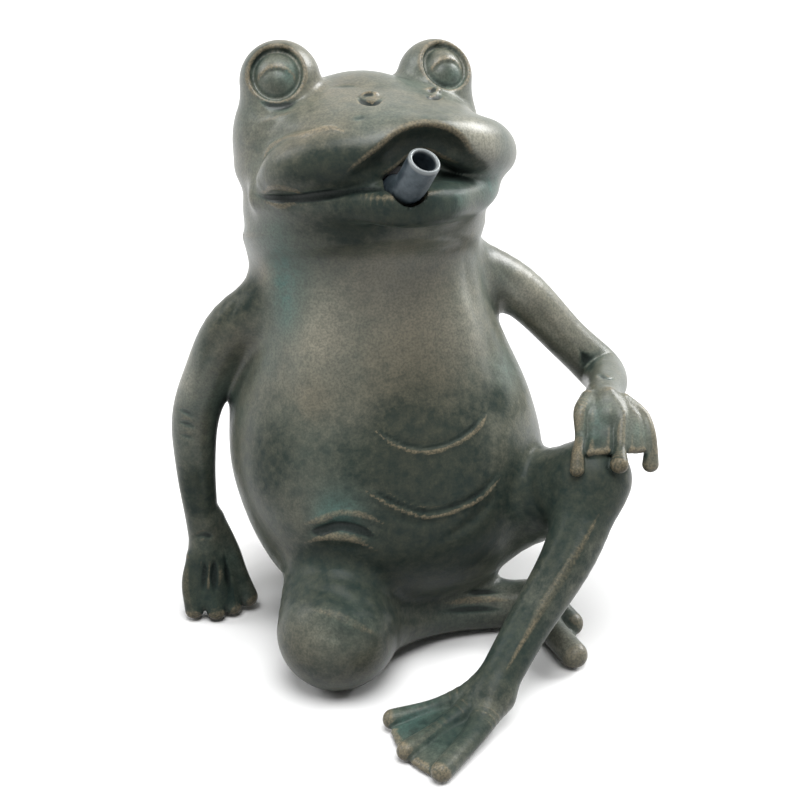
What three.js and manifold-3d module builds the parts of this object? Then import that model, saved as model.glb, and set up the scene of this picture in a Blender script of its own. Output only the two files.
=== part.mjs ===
import * as THREE from 'three';
import { mergeVertices } from 'three/addons/utils/BufferGeometryUtils.js';
import Module from 'manifold-3d';

// Frog water spitter: a seated frog cast in bronze sections, with a bent spout pipe in its mouth.
// Millimetres, +Z up. The origin is on the ground under the seat. The frog faces -Y, so its own
// left side is +X and its right side is -X.

const wasm = await Module();
wasm.setup();

// Walls and fits
const GAP = 0.3;
const PIN_FIT = 0.15;
const WALL = 4;
const FLOOR = 9;
const OVERSHOOT = 1;

// Facets of the round shapes
const LIMB_SIDES = 12;
const LIMB_STEPS = 9;
const DIGIT_SIDES = 6;
const DIGIT_STEPS = 4;
const CAP_RINGS = 2;
const BODY_SIDES = 24;
const BODY_STEPS = 12;
const HOLLOW_SIDES = 16;
const BALL_SIDES = 16;
const BALL_RINGS = 10;
const ROUND_SIDES = 16;
const PIN_SIDES = 12;
const HOSE_STEPS = 20;
const PIPE_STEPS = 9;
const HEX_SIDES = 6;
const LIMB_SAMPLES = 40;
const LEAVING_STOPS = 200;
const ROLL_STEPS = 8;

// Trunk sections from the ground up: height, middle x, middle y, half width, front, back
const TRUNK = [
  [0, 2, 8, 36, 28, 34],
  [14, 2, 5, 43, 38, 40],
  [32, 1, 1, 54, 53, 46],
  [52, 0, -2, 61, 59, 50],
  [74, -1, -2, 64.5, 58, 52],
  [98, -2, 1, 61, 54, 48],
  [120, -3, 5, 53, 47, 41],
  [142, -5, 8, 48, 42, 35],
  [160, -6.5, 10, 47.5, 39, 30],
  [190, -7, 11, 48, 39, 28],
];

// Limbs from the body outwards: x, y, z, radius
const RIGHT_ARM = [
  [-34, 4, 148, 12], [-61, 12, 132, 11], [-71, 20, 109, 10], [-76, 24, 88, 10],
  [-77, 22, 66, 8.5], [-76, 19, 42, 6.8], [-75, 17, 28, 6.4],
];
const LEFT_ARM = [
  [30, 7, 144, 14], [61, 3, 130, 10.5], [81, -1, 110, 9.4], [94, -5, 96, 9.5],
  [90, -22, 98, 8.5], [80, -40, 103, 7], [75, -52, 104, 6.5],
];
const RIGHT_THIGH = [[-20, -2, 40, 19], [-32, -30, 36, 21], [-41, -55, 23.5, 24]];
const LEFT_THIGH = [[24, -4, 40, 23], [44, -32, 55, 20], [65, -62, 77, 16]];
const RIGHT_SHANK = [
  [-34, -50, 18, 16], [-10, -40, 15.5, 12.6], [12, -35, 12.5, 11.2], [35, -37, 10.5, 10.5], [53, -43, 10, 9],
];
const LEFT_SHANK = [[67, -64, 78, 15], [50, -79, 56, 12.5], [24, -94, 32, 10.3], [7, -104, 15, 9]];
const RIGHT_PALM = [[-75, 17, 28, 6], [-74, 17, 20, 9], [-73, 16, 12, 9.5]];
const RIGHT_FINGERS = [
  [[-80, 16.5, 26, 4], [-82.5, 14.5, 16, 4.2], [-82, 12, 4.4, 4.4]],
  [[-76, 14, 26, 4], [-75.5, 11, 14, 4], [-74, 8, 4.4, 4.4]],
  [[-70, 14.5, 26, 4], [-67.5, 12, 14, 4], [-66.5, 9.5, 4.4, 4.4]],
  [[-71, 18.5, 42, 5], [-65, 16.5, 28, 4.5], [-61.5, 14, 15, 4.4], [-59, 11.5, 6, 4.6]],
];
const LEFT_PALM = [[77, -44, 103.5, 6.8], [75, -52, 103, 8], [74, -60, 100, 8]];
const LEFT_FINGERS = [
  [[69, -50, 105, 5], [63, -57, 103, 4], [60, -63, 97, 3.6], [54, -73, 89, 3.6]],
  [[76, -52, 106, 5], [77.5, -62, 102, 4.2], [74.5, -69, 96, 4], [70.5, -77, 90, 4.2]],
  [[81, -54, 104, 5], [87, -60.5, 100.5, 4], [88, -66, 95, 3.8], [87, -71.5, 84.5, 3.8]],
];
const RIGHT_TOES = [
  [[50, -42, 10, 8.5], [59, -48, 8, 5.8], [62, -55, 5.4, 5.4]],
  [[50, -42, 10, 8.5], [51, -61, 8, 6], [53.5, -78, 5.4, 5.6]],
];
const LEFT_TOES = [
  [[6, -103, 13, 8.5], [-14, -99, 8, 5.2], [-31.5, -96, 4.8, 4.8]],
  [[6, -105, 13, 8.5], [-14, -110, 8, 5.4], [-33, -116, 4.8, 4.8]],
  [[6, -107, 13, 9], [-5, -118.5, 8.5, 5.6], [-26, -134, 4.8, 4.8]],
];

// Head: its middle and its turns in degrees
const HEAD_AT = [-7, 9, 205];
const HEAD_PITCH = 17;
const HEAD_ROLL = 5;
const HEAD_YAW = 4;

// Head masses in the head's frame: egg shapes as middle, radii and the fillet to what is listed before
const HEAD_CORE = [
  [0, 6, 2, 49, 42, 24.5, 1],
  [1.5, 3, -24, 49, 43, 27, 10],
  [0.5, 2, -8, 50, 40, 16, 8],
];
const HEAD_FACE = [
  [0, -20, 6, 39, 31, 12.5, 9],
  [1, 0, 17, 15, 22, 10, 6],
  [-40, 3, 9, 10, 14, 14, 6],
  [40, 3, 9, 10, 14, 14, 6],
  [0, -12, -13, 44, 34, 11, 4],
];
const UPPER_LIP = [
  [-46, -19, -11, 5.5], [-42, -26, -7.5, 9], [-32, -36, -4.5, 11], [-17, -44.5, -2, 10.5],
  [-4, -49.5, 2, 8], [5, -51, 3.5, 7], [14, -49.5, 2, 8], [26, -43.5, -1, 10.5],
  [38, -33, -4, 11.5], [48, -20, -7.5, 8.5], [51, -8, -11, 4.5],
];
const UPPER_LIP_FILLET = 6.5;
const LOWER_LIP = [
  [-47, -10, -19, 3], [-38, -27, -21, 5], [-20, -40, -22, 6], [0, -46, -22.5, 6.5],
  [20, -43, -21.5, 7], [37, -31, -19, 6.5], [48, -13, -16.5, 4],
];
const LOWER_LIP_FILLET = 4;
const MOUTH = [
  [-22, -54, -12, 5.5], [-11.5, -57.5, -8, 9], [-1, -59, -5, 11.8],
  [8, -58.5, -5.5, 10.5], [17.5, -56.5, -10, 6.5],
];
const MOUTH_FILLET = 2;
const HEAD_ROOM = [70, 80, 52];
const HEAD_GRAIN = 4.5;
const HEAD_TOLERANCE = 0.2;
const HOLLOW_GRAIN = 7;
const HOLLOW_FRONT = 32;

// Eyes: middle, radius and the way each looks. The socket and the lid in it are shares of the radius.
const EYES = [
  { at: [-33, 0, 25.5], radius: 15.8, look: [-0.46, -0.86, 0.22] },
  { at: [33.2, 0, 24.3], radius: 15, look: [0.05, -0.94, 0.34] },
];
const EYE_FILLET = 5;
const SOCKET_OFFSET = 1.07;
const SOCKET_RADIUS = 0.72;
const LID_RADIUS = 0.93;
const NECK_LEVEL = -37;

// Sleeve that backs the joint between head and trunk, in the head's frame
const SLEEVE_MIDDLE_Y = 4;
const SLEEVE_HALF_WIDTH = 32;
const SLEEVE_HALF_DEPTH = 26;
const SLEEVE_WALL = 3;
const SLEEVE_HEIGHT = 18;

// Dowels that line up the castings
const LARGE_DOWEL_RADIUS = 4;
const LARGE_DOWEL_LENGTH = 26;
const KNEE_DOWEL_LENGTH = 18;
const SMALL_DOWEL_RADIUS = 2;
const SMALL_DOWEL_LENGTH = 13;
const BOSS_WALL = 4;

// Spout pipe and its grommet, placed in the head's frame, and the hose inside
const PIPE_RADIUS = 6.35;
const PIPE_BORE = 4.75;
const SPOUT_END = [-5.2, -70.5, -5.2];
const SPOUT_BEND = [-6.8, -57.3, -17.3];
const BEND_LENGTH = 9;
const PIPE_TAIL = 44;
const GROMMET_FACE = 12;
const GROMMET_WALL = 3;
const FLANGE_WIDTH = 2.2;
const FLANGE_THICK = 2;
const HOSE_WALL = 2;
const HOSE_OVERLAP = 15;
const HOSE_LEAD = 6;
const HOSE_ROUTE = [[1, 12, 92], [-2, 10.5, 125], [-6, 10, 150], [-8.5, 8, 172]];

// Inlet through the lower back, along Y
const INLET_X = 2;
const INLET_Z = 30;
const INLET_FACE = 44;
const INLET_BORE = 4.5;
const THREAD_RADIUS = 8.3;
const INLET_WALL = 8;
const SPOT_FACE_MARGIN = 8;
const WASHER_WALL = 4;
const WASHER_THICK = 2;
const HEX_WALL = 4.2;
const HEX_THICK = 6;
const BARB_LENGTH = 20;
const BARB_RIDGE = 0.55;
const BARB_COUNT = 3;
const BARB_SLOPE_SHARE = 0.9;
const ELBOW_WALL = 2.6;
const SOCKET_DEPTH = 9;
const ELBOW_RISE = 28;

// Worm-drive hose clips
const CLIP_BAND = 1;
const CLIP_WIDTH = 9;
const WORM_RADIUS = 2.2;
const WORM_LENGTH = 15;
const WORM_HEAD_RADIUS = 3.4;
const WORM_HEAD_LENGTH = 5;
const HOUSING_WALL = 1.2;
const HOUSING_LENGTH = 10;

// Base plate under the seat and its screws
const PLATE_AT = [2, 10];
const PLATE_HALF_WIDTH = 29;
const PLATE_HALF_DEPTH = 24;
const PLATE_THICK = 3;
const HATCH_HALF_WIDTH = 20.5;
const HATCH_HALF_DEPTH = 15.5;
const SCREW_RADIUS = 1.9;
const SCREW_HEAD_RADIUS = 3.6;
const SCREW_HEAD_DEPTH = 2;
const SCREW_LENGTH = 8;
const SCREW_COUNT = 4;
const WEEP_RADIUS = 3;
const WEEP_OFFSET = 9;

// Finishes
const FINISHES = {
  bronze: { color: 0x4f5249, roughness: 0.45, metalness: 0.85 },
  steel: { color: 0x9a9d9f, roughness: 0.35, metalness: 1.0 },
  brass: { color: 0xa98a4a, roughness: 0.35, metalness: 1.0 },
  rubber: { color: 0x1c1d1e, roughness: 0.8, metalness: 0.0 },
  hose: { color: 0x39423f, roughness: 0.55, metalness: 0.0 },
  pipe: { color: 0x6a7378, roughness: 0.4, metalness: 0.6 },
};

const AXIS = new THREE.Vector3(0, 1, 0);
const UP = new THREE.Vector3(0, 0, 1);
const BIG = 600;
const MERGE = 1e-4;
const NO_TURN = new THREE.Matrix4();
const point = (row) => new THREE.Vector3(row[0], row[1], row[2]);
const radians = THREE.MathUtils.degToRad;

// A placing that turns the Y axis of a cylinder or lathe to a direction.
function turnTo(direction) {
  return new THREE.Quaternion().setFromUnitVectors(AXIS, direction.clone().normalize());
}

function placing(place, direction) {
  return new THREE.Matrix4().compose(place, turnTo(direction), new THREE.Vector3(1, 1, 1));
}

// Joining and cutting: a closed geometry becomes a solid, and a solid becomes a geometry.
function triangleVolume(array, index, k) {
  const corner = (n) => new THREE.Vector3().fromArray(array, index[k + n] * 3);
  return corner(0).dot(corner(1).cross(corner(2)));
}

function solidOf(geometry, matrix = NO_TURN) {
  const bare = new THREE.BufferGeometry();
  bare.setAttribute('position', geometry.attributes.position.clone());
  bare.setIndex(geometry.index);
  bare.applyMatrix4(matrix);
  const merged = mergeVertices(bare, MERGE);
  const array = merged.attributes.position.array;
  const index = merged.index.array;
  const corners = [];
  let volume = 0;
  for (let k = 0; k < index.length; k += 3) {
    const [a, b, c] = [index[k], index[k + 1], index[k + 2]];
    if (a !== b && b !== c && c !== a) {
      corners.push([a, b, c]);
      volume += triangleVolume(array, index, k);
    }
  }
  if (volume < 0) {
    corners.forEach((face) => face.reverse());
  }
  return new wasm.Manifold(new wasm.Mesh({
    numProp: 3,
    vertProperties: new Float32Array(array),
    triVerts: new Uint32Array(corners.flat()),
  }));
}

function geometryOf(solid) {
  const mesh = solid.getMesh();
  const geometry = new THREE.BufferGeometry();
  geometry.setAttribute('position', new THREE.BufferAttribute(new Float32Array(mesh.vertProperties), 3));
  geometry.setIndex(new THREE.BufferAttribute(new Uint32Array(mesh.triVerts), 1));
  geometry.computeVertexNormals();
  return geometry;
}

function joined(solids) {
  return solids.reduce((whole, solid) => whole.add(solid));
}

function cut(solid, tools) {
  return tools.reduce((rest, tool) => rest.subtract(tool), solid);
}

// The largest of a solid's skins, so that no blowhole stays inside a casting
function outerSkin(solid) {
  return solid.decompose().reduce((best, piece) => (piece.volume() > best.volume() ? piece : best));
}

// A skin over rings of points that run anticlockwise round the way from first to last.
function skin(first, rings, last) {
  const sides = rings[0].length;
  const points = [first, ...rings.flat(), last];
  const spot = (ring, side) => 1 + ring * sides + (side % sides);
  const faces = [];
  for (let side = 0; side < sides; side += 1) {
    faces.push(0, spot(0, side + 1), spot(0, side));
    faces.push(points.length - 1, spot(rings.length - 1, side), spot(rings.length - 1, side + 1));
    for (let ring = 0; ring + 1 < rings.length; ring += 1) {
      faces.push(spot(ring, side), spot(ring, side + 1), spot(ring + 1, side + 1));
      faces.push(spot(ring, side), spot(ring + 1, side + 1), spot(ring + 1, side));
    }
  }
  const geometry = new THREE.BufferGeometry().setFromPoints(points);
  geometry.setIndex(faces);
  return geometry;
}

// Limbs are round lofts along a smooth curve, with domed ends.
function limbCurve(rows) {
  return new THREE.CatmullRomCurve3(rows.map(point));
}

function limbRadius(rows, t) {
  const along = t * (rows.length - 1);
  const k = Math.min(Math.floor(along), rows.length - 2);
  return THREE.MathUtils.lerp(rows[k][3], rows[k + 1][3], along - k);
}

function limb(rows, grow = 0, sides = LIMB_SIDES, steps = LIMB_STEPS) {
  const curve = limbCurve(rows);
  const frames = curve.computeFrenetFrames(steps, false);
  const ring = (middle, radius, k) => Array.from({ length: sides }, (_, side) => {
    const angle = (2 * Math.PI * side) / sides;
    return middle.clone()
      .addScaledVector(frames.normals[k], radius * Math.cos(angle))
      .addScaledVector(frames.binormals[k], radius * Math.sin(angle));
  });
  const rings = [];
  const middles = Array.from({ length: steps + 1 }, (_, k) => curve.getPointAt(k / steps));
  const radii = middles.map((_, k) => grow + limbRadius(rows, curve.getUtoTmapping(k / steps)));
  const dome = (k, away, turn) => {
    const middle = middles[k].clone().addScaledVector(frames.tangents[k], away * radii[k] * Math.cos(turn));
    return ring(middle, radii[k] * Math.sin(turn), k);
  };
  for (let k = 1; k < CAP_RINGS; k += 1) {
    rings.push(dome(0, -1, (k * Math.PI) / 2 / CAP_RINGS));
  }
  middles.forEach((middle, k) => rings.push(ring(middle, radii[k], k)));
  for (let k = CAP_RINGS - 1; k > 0; k -= 1) {
    rings.push(dome(steps, 1, (k * Math.PI) / 2 / CAP_RINGS));
  }
  const first = middles[0].clone().addScaledVector(frames.tangents[0], -radii[0]);
  const last = middles[steps].clone().addScaledVector(frames.tangents[steps], radii[steps]);
  return solidOf(skin(first, rings, last));
}

function digits(rowsList, grow = 0) {
  return joined(rowsList.map((rows) => limb(rows, grow, DIGIT_SIDES, DIGIT_STEPS)));
}

// The trunk is a loft of level egg-shaped sections.
function sections(rows) {
  const middles = new THREE.CatmullRomCurve3(rows.map((row) => new THREE.Vector3(row[1], row[2], row[0])));
  const sizes = new THREE.CatmullRomCurve3(rows.map((row) => new THREE.Vector3(row[3], row[4], row[5])));
  return Array.from({ length: BODY_STEPS + 1 }, (_, k) => ({
    middle: middles.getPoint(k / BODY_STEPS),
    size: sizes.getPoint(k / BODY_STEPS),
  }));
}

function body(rows, grow = 0, sides = BODY_SIDES) {
  const stack = sections(rows);
  const rings = stack.map(({ middle, size }) => Array.from({ length: sides }, (_, side) => {
    const angle = (2 * Math.PI * side) / sides;
    const depth = Math.sin(angle) < 0 ? size.y : size.z;
    return new THREE.Vector3(
      middle.x + (size.x + grow) * Math.cos(angle),
      middle.y + (depth + grow) * Math.sin(angle),
      middle.z,
    );
  }));
  return solidOf(skin(stack[0].middle, rings, stack[BODY_STEPS].middle));
}

const trunk = (grow = 0) => body(TRUNK, grow);
const trunkSections = sections(TRUNK);

function insideTrunk(place) {
  const near = trunkSections.reduce((best, section) => (
    Math.abs(section.middle.z - place.z) < Math.abs(best.middle.z - place.z) ? section : best));
  const depth = place.y < near.middle.y ? near.size.y : near.size.z;
  return Math.hypot((place.x - near.middle.x) / near.size.x, (place.y - near.middle.y) / depth) < 1;
}

// Balls in the head's frame, round bars, turned shapes and half spaces
function ball(centre, radius) {
  const geometry = new THREE.SphereGeometry(radius, BALL_SIDES, BALL_RINGS);
  geometry.translate(...centre);
  return solidOf(geometry, headMatrix);
}

function bar(from, to, radius, sides = ROUND_SIDES) {
  const length = from.distanceTo(to);
  const geometry = new THREE.CylinderGeometry(radius, radius, length, sides);
  return solidOf(geometry, placing(from.clone().lerp(to, 0.5), to.clone().sub(from)));
}

function turned(profile, sides = ROUND_SIDES) {
  const outline = profile.map(([radius, height]) => new THREE.Vector2(radius, height));
  return new THREE.LatheGeometry(outline, sides);
}

function ringProfile(inner, outer, low, high) {
  return [[inner, low], [outer, low], [outer, high], [inner, high], [inner, low]];
}

function hexBar(low, high, radius) {
  const geometry = new THREE.CylinderGeometry(radius, radius, high - low, HEX_SIDES);
  geometry.translate(0, (low + high) / 2, 0);
  return solidOf(geometry);
}

function above(place, normal) {
  const middle = place.clone().addScaledVector(normal, BIG / 2);
  return solidOf(new THREE.BoxGeometry(BIG, BIG, BIG), placing(middle, normal));
}

// A straight bar of egg outline along the matrix's Z axis
function ovalBar(halfWidth, halfDepth, low, high, middleX, middleY, matrix = NO_TURN) {
  const outline = new THREE.Shape();
  outline.absellipse(middleX, middleY, halfWidth, halfDepth, 0, 2 * Math.PI);
  const geometry = new THREE.ExtrudeGeometry(outline, {
    depth: high - low,
    bevelEnabled: false,
    curveSegments: BODY_SIDES / 2,
  });
  geometry.translate(0, 0, low);
  return solidOf(geometry, matrix);
}

// A tube of round section along a path
function tube(path, radius, bore, sides, steps) {
  const outline = new THREE.Shape();
  outline.absarc(0, 0, radius, 0, 2 * Math.PI);
  const hollow = new THREE.Path();
  hollow.absarc(0, 0, bore, 0, 2 * Math.PI, true);
  outline.holes.push(hollow);
  return new THREE.ExtrudeGeometry(outline, {
    steps,
    extrudePath: path,
    bevelEnabled: false,
    curveSegments: sides / 2,
  });
}

// The place where a limb comes out of the piece that carries it
function leaving(rows, inside) {
  const curve = limbCurve(rows);
  let k = 0;
  while (k < LEAVING_STOPS && inside(curve.getPointAt(k / LEAVING_STOPS))) {
    k += 1;
  }
  const along = k / LEAVING_STOPS;
  return { place: curve.getPointAt(along), direction: curve.getTangentAt(along) };
}

function insideLimb(rows) {
  const curve = limbCurve(rows);
  const samples = Array.from({ length: LIMB_SAMPLES + 1 }, (_, k) => k / LIMB_SAMPLES);
  return (place) => samples.some((t) => place.distanceTo(curve.getPoint(t)) < limbRadius(rows, t));
}

const ground = above(new THREE.Vector3(0, 0, 0), UP);
const onGround = (solid) => solid.intersect(ground);

// Dowels: each sits half in the casting that carries the joint and half in the next one.
function dowel(spot, radius, length) {
  const half = spot.direction.clone().setLength(length / 2);
  const deep = spot.direction.clone().setLength(length / 2 + GAP);
  const holeEnds = [spot.place.clone().sub(deep), spot.place.clone().add(deep)];
  const hole = bar(...holeEnds, radius + PIN_FIT, PIN_SIDES);
  const bossEnd = spot.place.clone().sub(half).sub(spot.direction.clone().setLength(BOSS_WALL));
  const boss = bar(bossEnd, spot.place, radius + BOSS_WALL);
  return { ...spot, radius, length, hole, boss };
}

const largeDowel = (spot) => dowel(spot, LARGE_DOWEL_RADIUS, LARGE_DOWEL_LENGTH);
const kneeDowel = (spot) => dowel(spot, LARGE_DOWEL_RADIUS, KNEE_DOWEL_LENGTH);
const smallDowel = (spot) => dowel(spot, SMALL_DOWEL_RADIUS, SMALL_DOWEL_LENGTH);

const dowels = {
  right_shoulder_dowel: largeDowel(leaving(RIGHT_ARM, insideTrunk)),
  left_shoulder_dowel: largeDowel(leaving(LEFT_ARM, insideTrunk)),
  right_hip_dowel: largeDowel(leaving(RIGHT_THIGH, insideTrunk)),
  left_hip_dowel: largeDowel(leaving(LEFT_THIGH, insideTrunk)),
  right_knee_dowel: kneeDowel(leaving(RIGHT_SHANK, insideLimb(RIGHT_THIGH))),
  left_knee_dowel: kneeDowel(leaving(LEFT_SHANK, insideLimb(LEFT_THIGH))),
  right_wrist_dowel: smallDowel(leaving(RIGHT_PALM, insideLimb(RIGHT_ARM))),
  left_wrist_dowel: smallDowel(leaving(LEFT_PALM, insideLimb(LEFT_ARM))),
  right_ankle_dowel: smallDowel(leaving(RIGHT_TOES[1], insideLimb(RIGHT_SHANK))),
  left_ankle_dowel: smallDowel(leaving(LEFT_TOES[1], insideLimb(LEFT_SHANK))),
};
const holes = (...names) => names.map((name) => dowels[name].hole);

// Head frame, spout line and inlet line
const headTurn = new THREE.Euler(-radians(HEAD_PITCH), radians(HEAD_ROLL), radians(HEAD_YAW), 'ZYX');
const headMatrix = new THREE.Matrix4().makeRotationFromEuler(headTurn).setPosition(point(HEAD_AT));
const headUp = UP.clone().transformDirection(headMatrix);
const neckPlace = new THREE.Vector3(0, 0, NECK_LEVEL).applyMatrix4(headMatrix);

const bendPlace = point(SPOUT_BEND).applyMatrix4(headMatrix);
const spoutEnd = point(SPOUT_END).applyMatrix4(headMatrix);
const tailTurn = AXIS.clone().transformDirection(headMatrix);
const onTail = (distance) => bendPlace.clone().addScaledVector(tailTurn, distance);
const hoseBore = PIPE_RADIUS + GAP;
const hoseRadius = hoseBore + HOSE_WALL;
const grommetBore = PIPE_RADIUS + GAP;
const grommetRadius = grommetBore + GROMMET_WALL;
const flangeRadius = grommetRadius + FLANGE_WIDTH;
const flangeSeat = -HOLLOW_FRONT - SPOUT_BEND[1];

const nutRadius = THREAD_RADIUS + GAP + HEX_WALL;
const inletInner = INLET_FACE - INLET_WALL;
const washerLow = INLET_FACE + GAP;
const hexLow = washerLow + WASHER_THICK + GAP;
const nutHigh = inletInner - GAP;
const nutLow = nutHigh - HEX_THICK;
const socketHigh = nutLow - GAP;
const shankLow = socketHigh - SOCKET_DEPTH;
const elbowRadius = THREAD_RADIUS + GAP + ELBOW_WALL;
const riserY = shankLow - GAP - PIPE_RADIUS;
const elbowLow = riserY - PIPE_RADIUS - ELBOW_WALL;
const riserTop = INLET_Z + ELBOW_RISE;
const onInlet = (y) => new THREE.Vector3(INLET_X, y, INLET_Z);
const onRiser = (z) => new THREE.Vector3(INLET_X, riserY, z);

// Trunk casting: hollow, open at the neck and under the seat, with bosses for dowels and inlet
function trunkCasting() {
  const bosses = [
    ...['right_shoulder_dowel', 'left_shoulder_dowel', 'right_hip_dowel', 'left_hip_dowel']
      .map((name) => dowels[name].boss),
    bar(onInlet(inletInner), onInlet(INLET_FACE + WALL), nutRadius + GAP),
  ];
  const outside = trunk();
  const hollow = body(TRUNK, -WALL, HOLLOW_SIDES)
    .intersect(above(new THREE.Vector3(0, 0, FLOOR), UP))
    .subtract(above(neckPlace.clone().addScaledVector(headUp, -SLEEVE_HEIGHT / 2), headUp));
  const pocketHalves = [PLATE_HALF_WIDTH + GAP, PLATE_HALF_DEPTH + GAP];
  const seatPocket = ovalBar(...pocketHalves, -OVERSHOOT, PLATE_THICK + GAP, ...PLATE_AT);
  const hatch = ovalBar(HATCH_HALF_WIDTH, HATCH_HALF_DEPTH, -OVERSHOOT, FLOOR + OVERSHOOT, ...PLATE_AT);
  const spotRadius = THREAD_RADIUS + WASHER_WALL + SPOT_FACE_MARGIN;
  const spotFace = bar(onInlet(INLET_FACE), onInlet(INLET_FACE + BIG), spotRadius);
  const screwTop = SCREW_LENGTH + GAP;
  const screwHoles = screwPlaces()
    .map((place) => bar(place, place.clone().setZ(screwTop), SCREW_RADIUS + PIN_FIT, PIN_SIDES));
  const inletHole = bar(onInlet(0), onInlet(BIG), THREAD_RADIUS + GAP);
  const shell = outside.subtract(hollow).add(joined(bosses).intersect(outside));
  return cut(shell, [
    above(neckPlace.clone().addScaledVector(headUp, -GAP / 2), headUp),
    sleeveBar(GAP, WALL),
    seatPocket,
    hatch,
    spotFace,
    inletHole,
    ...screwHoles,
    ...holes('right_shoulder_dowel', 'left_shoulder_dowel', 'right_hip_dowel', 'left_hip_dowel'),
  ]);
}

function sleeveBar(grow, stretch) {
  return ovalBar(
    SLEEVE_HALF_WIDTH + grow,
    SLEEVE_HALF_DEPTH + grow,
    NECK_LEVEL - SLEEVE_HEIGHT / 2 - stretch,
    NECK_LEVEL + SLEEVE_HEIGHT / 2 + stretch,
    0,
    SLEEVE_MIDDLE_Y,
    headMatrix,
  );
}

function neckSleeve() {
  return sleeveBar(0, 0).subtract(sleeveBar(-SLEEVE_WALL, WALL));
}

// Soft lumps: a depth is positive inside a shape, and joining two depths leaves a fillet between them.
function joinDepths(a, b, fillet) {
  const share = Math.max(fillet - Math.abs(a - b), 0) / fillet;
  return Math.max(a, b) + (share * share * fillet) / 4;
}

function eggDepth([x, y, z, halfX, halfY, halfZ], place) {
  const [u, v, w] = [(place[0] - x) / halfX, (place[1] - y) / halfY, (place[2] - z) / halfZ];
  const near = Math.hypot(u, v, w);
  const slope = Math.hypot(u / halfX, v / halfY, w / halfZ);
  return (near * (1 - near)) / Math.max(slope, MERGE);
}

function rollDepth(rows) {
  const curve = limbCurve(rows);
  const steps = rows.length * ROLL_STEPS;
  const beads = Array.from({ length: steps + 1 }, (_, k) => ({
    middle: curve.getPoint(k / steps),
    radius: limbRadius(rows, k / steps),
  }));
  return ([x, y, z]) => beads.reduce((best, { middle, radius }) => (
    Math.max(best, radius - Math.hypot(x - middle.x, y - middle.y, z - middle.z))), -BIG);
}

function coreDepth(place) {
  return HEAD_CORE.reduce((depth, egg) => joinDepths(depth, eggDepth(egg, place), egg[6]), -BIG);
}

const upperLipDepth = rollDepth(UPPER_LIP);
const lowerLipDepth = rollDepth(LOWER_LIP);
const mouthDepth = rollDepth(MOUTH);

function headDepth(place) {
  let depth = coreDepth(place);
  HEAD_FACE.forEach((egg) => {
    depth = joinDepths(depth, eggDepth(egg, place), egg[6]);
  });
  depth = joinDepths(depth, upperLipDepth(place), UPPER_LIP_FILLET);
  depth = joinDepths(depth, lowerLipDepth(place), LOWER_LIP_FILLET);
  EYES.forEach(({ at, radius }) => {
    const eye = radius - Math.hypot(place[0] - at[0], place[1] - at[1], place[2] - at[2]);
    depth = joinDepths(depth, eye, EYE_FILLET);
  });
  return -joinDepths(-depth, mouthDepth(place), MOUTH_FILLET);
}

function lump(depth, grain, inset) {
  const box = { min: HEAD_ROOM.map((half) => -half), max: HEAD_ROOM };
  const raw = wasm.Manifold.levelSet(depth, box, grain, inset);
  return outerSkin(raw.simplify(HEAD_TOLERANCE)).transform(headMatrix.elements);
}

// Eye: a round socket and a domed lid that fills it
function eyeParts({ at, radius, look }) {
  const socketAt = point(at).addScaledVector(point(look).normalize(), SOCKET_OFFSET * radius);
  return {
    socket: ball(socketAt.toArray(), SOCKET_RADIUS * radius),
    lid: ball(at, LID_RADIUS * radius),
  };
}

// Head casting: hollow behind the lips, with solid lips and eyes, and the mouth with the spout's bore
function headCasting() {
  const eyes = EYES.map(eyeParts);
  const hollowWall = new THREE.Vector3(0, -HOLLOW_FRONT, 0).applyMatrix4(headMatrix);
  const hollow = lump(coreDepth, HOLLOW_GRAIN, WALL)
    .intersect(above(neckPlace.clone().addScaledVector(headUp, SLEEVE_HEIGHT / 2), headUp))
    .intersect(above(hollowWall, tailTurn));
  const outside = cut(lump(headDepth, HEAD_GRAIN, 0), eyes.map(({ socket }) => socket))
    .add(joined(eyes.map(({ lid }) => lid)));
  return cut(outside, [
    hollow,
    above(neckPlace.clone().addScaledVector(headUp, GAP / 2), headUp.clone().negate()),
    sleeveBar(GAP, WALL),
    bar(bendPlace, onTail(PIPE_TAIL), grommetRadius + GAP),
    bar(onTail(flangeSeat), onTail(PIPE_TAIL), flangeRadius + GAP),
  ]);
}

// Spout pipe: a straight tail through the grommet, a bend and a straight mouth
function spoutPath() {
  const rise = spoutEnd.clone().sub(bendPlace).normalize();
  const bendOut = bendPlace.clone().addScaledVector(rise, BEND_LENGTH);
  const path = new THREE.CurvePath();
  path.add(new THREE.LineCurve3(onTail(PIPE_TAIL), onTail(BEND_LENGTH)));
  path.add(new THREE.QuadraticBezierCurve3(onTail(BEND_LENGTH), bendPlace, bendOut));
  path.add(new THREE.LineCurve3(bendOut, spoutEnd));
  return path;
}

// Grommet: a sleeve in the lips, with its flange against the wall of the hollow
function grommet() {
  const step = flangeSeat + GAP - GROMMET_FACE;
  const end = step + FLANGE_THICK;
  return turned([
    [grommetBore, 0], [grommetRadius, 0], [grommetRadius, step], [flangeRadius, step],
    [flangeRadius, end], [grommetBore, end], [grommetBore, 0],
  ]);
}

// Hose inside the casting, from the elbow's riser up through the neck to the pipe's tail
function hosePath() {
  const riserLine = [onRiser(riserTop - HOSE_OVERLAP), onRiser(riserTop + HOSE_LEAD)];
  const tailLine = [onTail(PIPE_TAIL + HOSE_LEAD), onTail(PIPE_TAIL - HOSE_OVERLAP)];
  const path = new THREE.CurvePath();
  path.add(new THREE.LineCurve3(...riserLine));
  path.add(new THREE.CatmullRomCurve3([riserLine[1], ...HOSE_ROUTE.map(point), tailLine[0]]));
  path.add(new THREE.LineCurve3(...tailLine));
  return path;
}

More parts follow.
